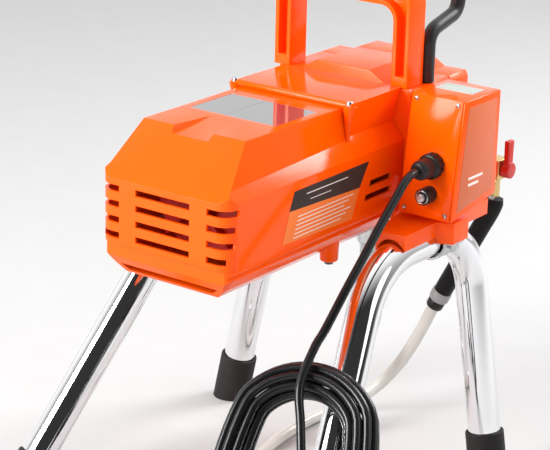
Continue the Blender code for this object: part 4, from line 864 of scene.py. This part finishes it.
def make_gland():
    x, z = GLAND_X, GLAND_Z
    profile = rounded(((0.0046, 0.2113), (0.0078, 0.2120), (0.0093, 0.2160), (0.0093, 0.2290),
                       (0.0120, 0.2300), (0.0122, 0.2390)), 0.0016)
    gland = made("gland_body", turned("Y", [(0.0001, 0.2113)] + profile, (x, 0, z)))
    grips = bmesh.new()
    for k in range(GLAND_GRIPS):
        turn = 2 * math.pi * k / GLAND_GRIPS
        turned("Y", ((0.0011, 0.2310), (0.0011, 0.2392)),
               (x + 0.0122 * math.cos(turn), 0, z + 0.0122 * math.sin(turn)), 8, grips)
    combine(gland, grips)
    placed(gland, "gland_black", replaces=("cord_gland",))
    z = BREAKER_Z
    body = rounded(((0.0046, 0.2216), (0.0078, 0.2216), (0.0079, 0.2370)), 0.0012)
    body = [(0.0046, 0.2380)] + body
    placed(made("breaker_shell", turned("Y", body, (x, 0, z), joined=True)), "gland_black",
           replaces=("breaker_body",))
    ring = rounded(((0.0050, 0.2222), (0.0060, 0.2208), (0.0070, 0.2222)), 0.0008)
    placed(made("breaker_ring", turned("Y", ring, (x, 0, z), joined=True)), "steel")
    button = rounded(((0.0001, 0.2176), (0.0040, 0.2176), (0.0044, 0.2360), (0.0001, 0.2360)),
                     0.001)
    placed(made("breaker_cap", turned("Y", button, (x, 0, z), 32)), "steel", "breaker",
           ("breaker_button",))


def make_controls():
    x, z, start = KNOB_X, KNOB_Z, KNOB_START
    profile = rounded(((0.0001, start + 0.0002), (0.0163, start + 0.0005),
                       (0.0160, start + 0.0165), (0.0001, start + 0.0168)), 0.0018)
    knob = made("knob_body", turned("Y", profile, (x, 0, z), 72))
    grips = bmesh.new()
    for k in range(KNOB_GRIPS):
        turn = 2 * math.pi * (k + 0.5) / KNOB_GRIPS
        turned("Y", ((0.0009, start + 0.004), (0.0009, start + 0.02)),
               (x + 0.0164 * math.cos(turn), 0, z + 0.0164 * math.sin(turn)), 8, grips)
    combine(knob, grips)
    placed(knob, "gland_black", "knob", ("pressure_knob",))
    mark = soften(made("knob_mark", block((x - 0.0009, start + 0.0160, z + 0.004),
                                          (x + 0.0009, start + 0.0170, z + 0.0140))), 0.0002, 2)
    placed(mark, "print_white", "knob")
    worked("power_rocker", "rocker_cap", 0.0006, body="rocker")


# ---------------------------------------------------------------- stand

def leg_path(side):
    rear_top = Vector((TUBE_X, REAR_BEND_Y, TUBE_Z))
    front_top = Vector((TUBE_X, FRONT_BEND_Y, TUBE_Z))
    rear_end = REAR_FOOT.lerp(rear_top, TUBE_START / (rear_top - REAR_FOOT).length)
    front_end = FRONT_FOOT.lerp(front_top, TUBE_START / (front_top - FRONT_FOOT).length)
    path = [rear_end] + bend(REAR_FOOT, rear_top, front_top, REAR_BEND_RADIUS, 20)
    path += bend(rear_top, front_top, FRONT_FOOT, FRONT_BEND_RADIUS, 20) + [front_end]
    return [Vector((side * p.x, p.y, p.z)) for p in path]


def make_stand():
    for side, word in ((1, "right"), (-1, "left")):
        placed(made(f"stand_tube_{word}", sweep(leg_path(side), TUBE_RADIUS, 64)), "chrome",
               replaces=(f"frame_tube_{word}",))
        for end, foot, top in (("rear", REAR_FOOT, Vector((TUBE_X, REAR_BEND_Y, TUBE_Z))),
                               ("front", FRONT_FOOT, Vector((TUBE_X, FRONT_BEND_Y, TUBE_Z)))):
            base = Vector((side * foot.x, foot.y, foot.z))
            up = (Vector((side * top.x, top.y, top.z)) - base).normalized()
            profile = rounded(((0.0001, -0.02), (FOOT_RADIUS, -0.02),
                               (FOOT_RADIUS, FOOT_HEIGHT - 0.0005),
                               (0.0163, FOOT_HEIGHT + 0.0002), (0.0163, TUBE_START),
                               (0.0001, TUBE_START)), 0.0018)
            shape = turned("Z", profile, steps=64)
            turn = up.to_track_quat("Z", "Y").to_matrix().to_4x4()
            bmesh.ops.transform(shape, matrix=Matrix.Translation(base) @ turn, verts=shape.verts)
            rubber = made(f"{end}_boot_{word}", shape)
            reach = 0.06
            combine(rubber, block((base.x - reach, base.y - reach, -0.05),
                                  (base.x + reach, base.y + reach, 0.0002)))
            placed(rubber, "foot_rubber", replaces=(f"{end}_foot_{word}",))


# ---------------------------------------------------------------- pump

def make_pump():
    x, y = PUMP_X, PUMP_Y
    barrel = rounded(((0.0100, 0.2438), (0.0180, 0.2438), (0.0180, 0.2000), (0.0145, 0.1940),
                      (0.0145, 0.1652), (0.0098, 0.1652)), 0.0012)
    placed(made("pump_barrel", turned("Z", barrel, (x, y, 0), joined=True)), "steel",
           replaces=("pump_cylinder",))
    valve = rounded(((0.0056, 0.1647), (0.0125, 0.1647), (0.0125, 0.1367), (0.0056, 0.1367)),
                    0.001)
    placed(made("inlet_body", turned("Z", valve, (x, y, 0), joined=True)), "steel",
           replaces=("inlet_valve",))
    siphon = smooth(((x, y, 0.1361), (x, y, 0.1220), (x, 0.3460, 0.1070), (x, 0.3350, 0.0900),
                     (x, 0.3200, 0.0720), (x, 0.3060, 0.0580), (x, STRAINER_Y, 0.0480),
                     (x, STRAINER_Y, 0.0340)), 0.004)
    placed(made("siphon_pipe", sweep(siphon, 0.011)), "steel", replaces=("siphon_tube",))
    cup = rounded(((0.0088, 0.0337), (0.0135, 0.0337), (0.0135, 0.0080), (0.0105, 0.0051),
                   (0.0001, 0.0051)), 0.0016)
    basket = made("strainer_basket", turned("Z", cup, (x, STRAINER_Y, 0)))
    holes = bmesh.new()
    for row in range(3):
        for k in range(8):
            turn = math.pi * k / 4 + row * math.pi / 8
            out = Vector((math.cos(turn), math.sin(turn), 0))
            middle = Vector((x, STRAINER_Y, 0.0130 + row * 0.0065)) + out * 0.0135
            side, up = Vector((-out.y, out.x, 0)), Vector((0, 0, 1))
            turns = [2 * math.pi * n / 12 for n in range(12)]
            rim = [(side * math.cos(b) + up * math.sin(b)) * 0.0018 for b in turns]
            skin(holes, [[middle + out * a + edge for edge in rim] for a in (-0.0012, 0.002)])
    combine(basket, holes)
    placed(basket, "steel", replaces=("siphon_strainer",))
    fx, fy = FILTER_X, FLUID_Y
    bowl = rounded(((0.0001, 0.2685), (0.0142, 0.2685), (0.0142, 0.3080), (0.0112, 0.3095),
                    (0.0112, 0.3100)), 0.0014)
    placed(made("filter_bowl", turned("Z", bowl + [(0.0001, 0.3100)], (fx, fy, 0))), "steel",
           replaces=("filter_housing",))
    cap = turned("Z", ((0.0112, 0.3101), (0.0112, 0.3221)), (fx, fy, 0), 6)
    placed(soften(made("filter_cap", cap), 0.0008), "steel")
    z = OUTLET_Z
    nut = turned("X", ((0.0090, -0.0363), (0.0090, -0.0455)), (0, fy, z), 6)
    placed(soften(made("outlet_nut", nut), 0.0006), "brass")
    thread = [(0.0001, -0.0642), (0.0060, -0.0642)]
    for k in range(12):
        along = -0.0632 + k * 0.0014
        thread += [(0.0070, along), (0.0063, along + 0.0007)]
    thread += [(0.0070, -0.0456), (0.0001, -0.0456)]
    placed(made("outlet_thread", turned("X", thread, (0, fy, z))), "brass",
           replaces=("outlet_fitting",))
    worked("prime_valve", "prime_body", 0.0008)
    worked("prime_handle", "prime_lever_body", 0.0008, body="prime_lever")
    worked("packing_nut", "packing_gland", 0.0004)


# ---------------------------------------------------------------- floor and light

def make_stage():
    size = 6.0
    floor = bmesh.new()
    bmesh.ops.create_grid(floor, x_segments=4, y_segments=4, size=size)
    mesh = bpy.data.meshes.new("floor")
    floor.to_mesh(mesh)
    floor.free()
    obj = bpy.data.objects.new("floor", mesh)
    obj.location.z = -0.0004
    bpy.context.scene.collection.objects.link(obj)
    coated(obj, "floor")


def make_light():
    world = bpy.data.worlds.new("studio")
    bpy.context.scene.world = world
    world.use_nodes = True
    tree = world.node_tree
    shade = tree.nodes["Background"]
    shade.inputs["Color"].default_value = (1, 1, 1, 1)
    place = tree.nodes.new("ShaderNodeTexCoord")
    dot = tree.nodes.new("ShaderNodeVectorMath")
    dot.operation = "DOT_PRODUCT"
    dot.inputs[1].default_value = (-view_back.x, -view_back.y, 0.55)
    tree.links.new(place.outputs["Generated"], dot.inputs[0])
    ramp = tree.nodes.new("ShaderNodeMapRange")
    ramp.interpolation_type = "SMOOTHSTEP"
    for name, value in (("From Min", -0.1), ("From Max", 0.75), ("To Min", SKY_FRONT),
                        ("To Max", SKY_BACK)):
        ramp.inputs[name].default_value = value
    tree.links.new(dot.outputs["Value"], ramp.inputs["Value"])
    path = tree.nodes.new("ShaderNodeLightPath")
    gloss = tree.nodes.new("ShaderNodeMix")
    gloss.inputs["A"].default_value = SKY_DIFFUSE
    tree.links.new(path.outputs["Is Glossy Ray"], gloss.inputs["Factor"])
    tree.links.new(ramp.outputs["Result"], gloss.inputs["B"])
    seen = tree.nodes.new("ShaderNodeMix")
    seen.inputs["B"].default_value = SKY_CAMERA
    tree.links.new(path.outputs["Is Camera Ray"], seen.inputs["Factor"])
    tree.links.new(gloss.outputs["Result"], seen.inputs["A"])
    tree.links.new(seen.outputs["Result"], shade.inputs["Strength"])
    for name, at, size, power in (("key", (-0.95, -1.95, 1.15), 1.3, KEY_POWER),
                                  ("fill", (1.9, 0.6, 1.3), 1.2, 6.0),
                                  ("rim", (0.80, 1.75, 1.55), 1.0, RIM_POWER)):
        lamp = bpy.data.lights.new(name, "AREA")
        lamp.shape = "DISK"
        lamp.size = size
        lamp.energy = power
        obj = bpy.data.objects.new(name, lamp)
        obj.location = at
        aim = Vector((0, 0, 0.3)) - Vector(at)
        obj.rotation_euler = aim.to_track_quat("-Z", "Y").to_euler()
        bpy.context.scene.collection.objects.link(obj)


make_shroud()
make_side_labels()
make_cover()
make_castings()
make_handle()
make_box()
make_gland()
make_controls()
make_stand()
make_pump()
make_stage()
make_light()
bpy.context.scene.view_settings.view_transform = "Standard"
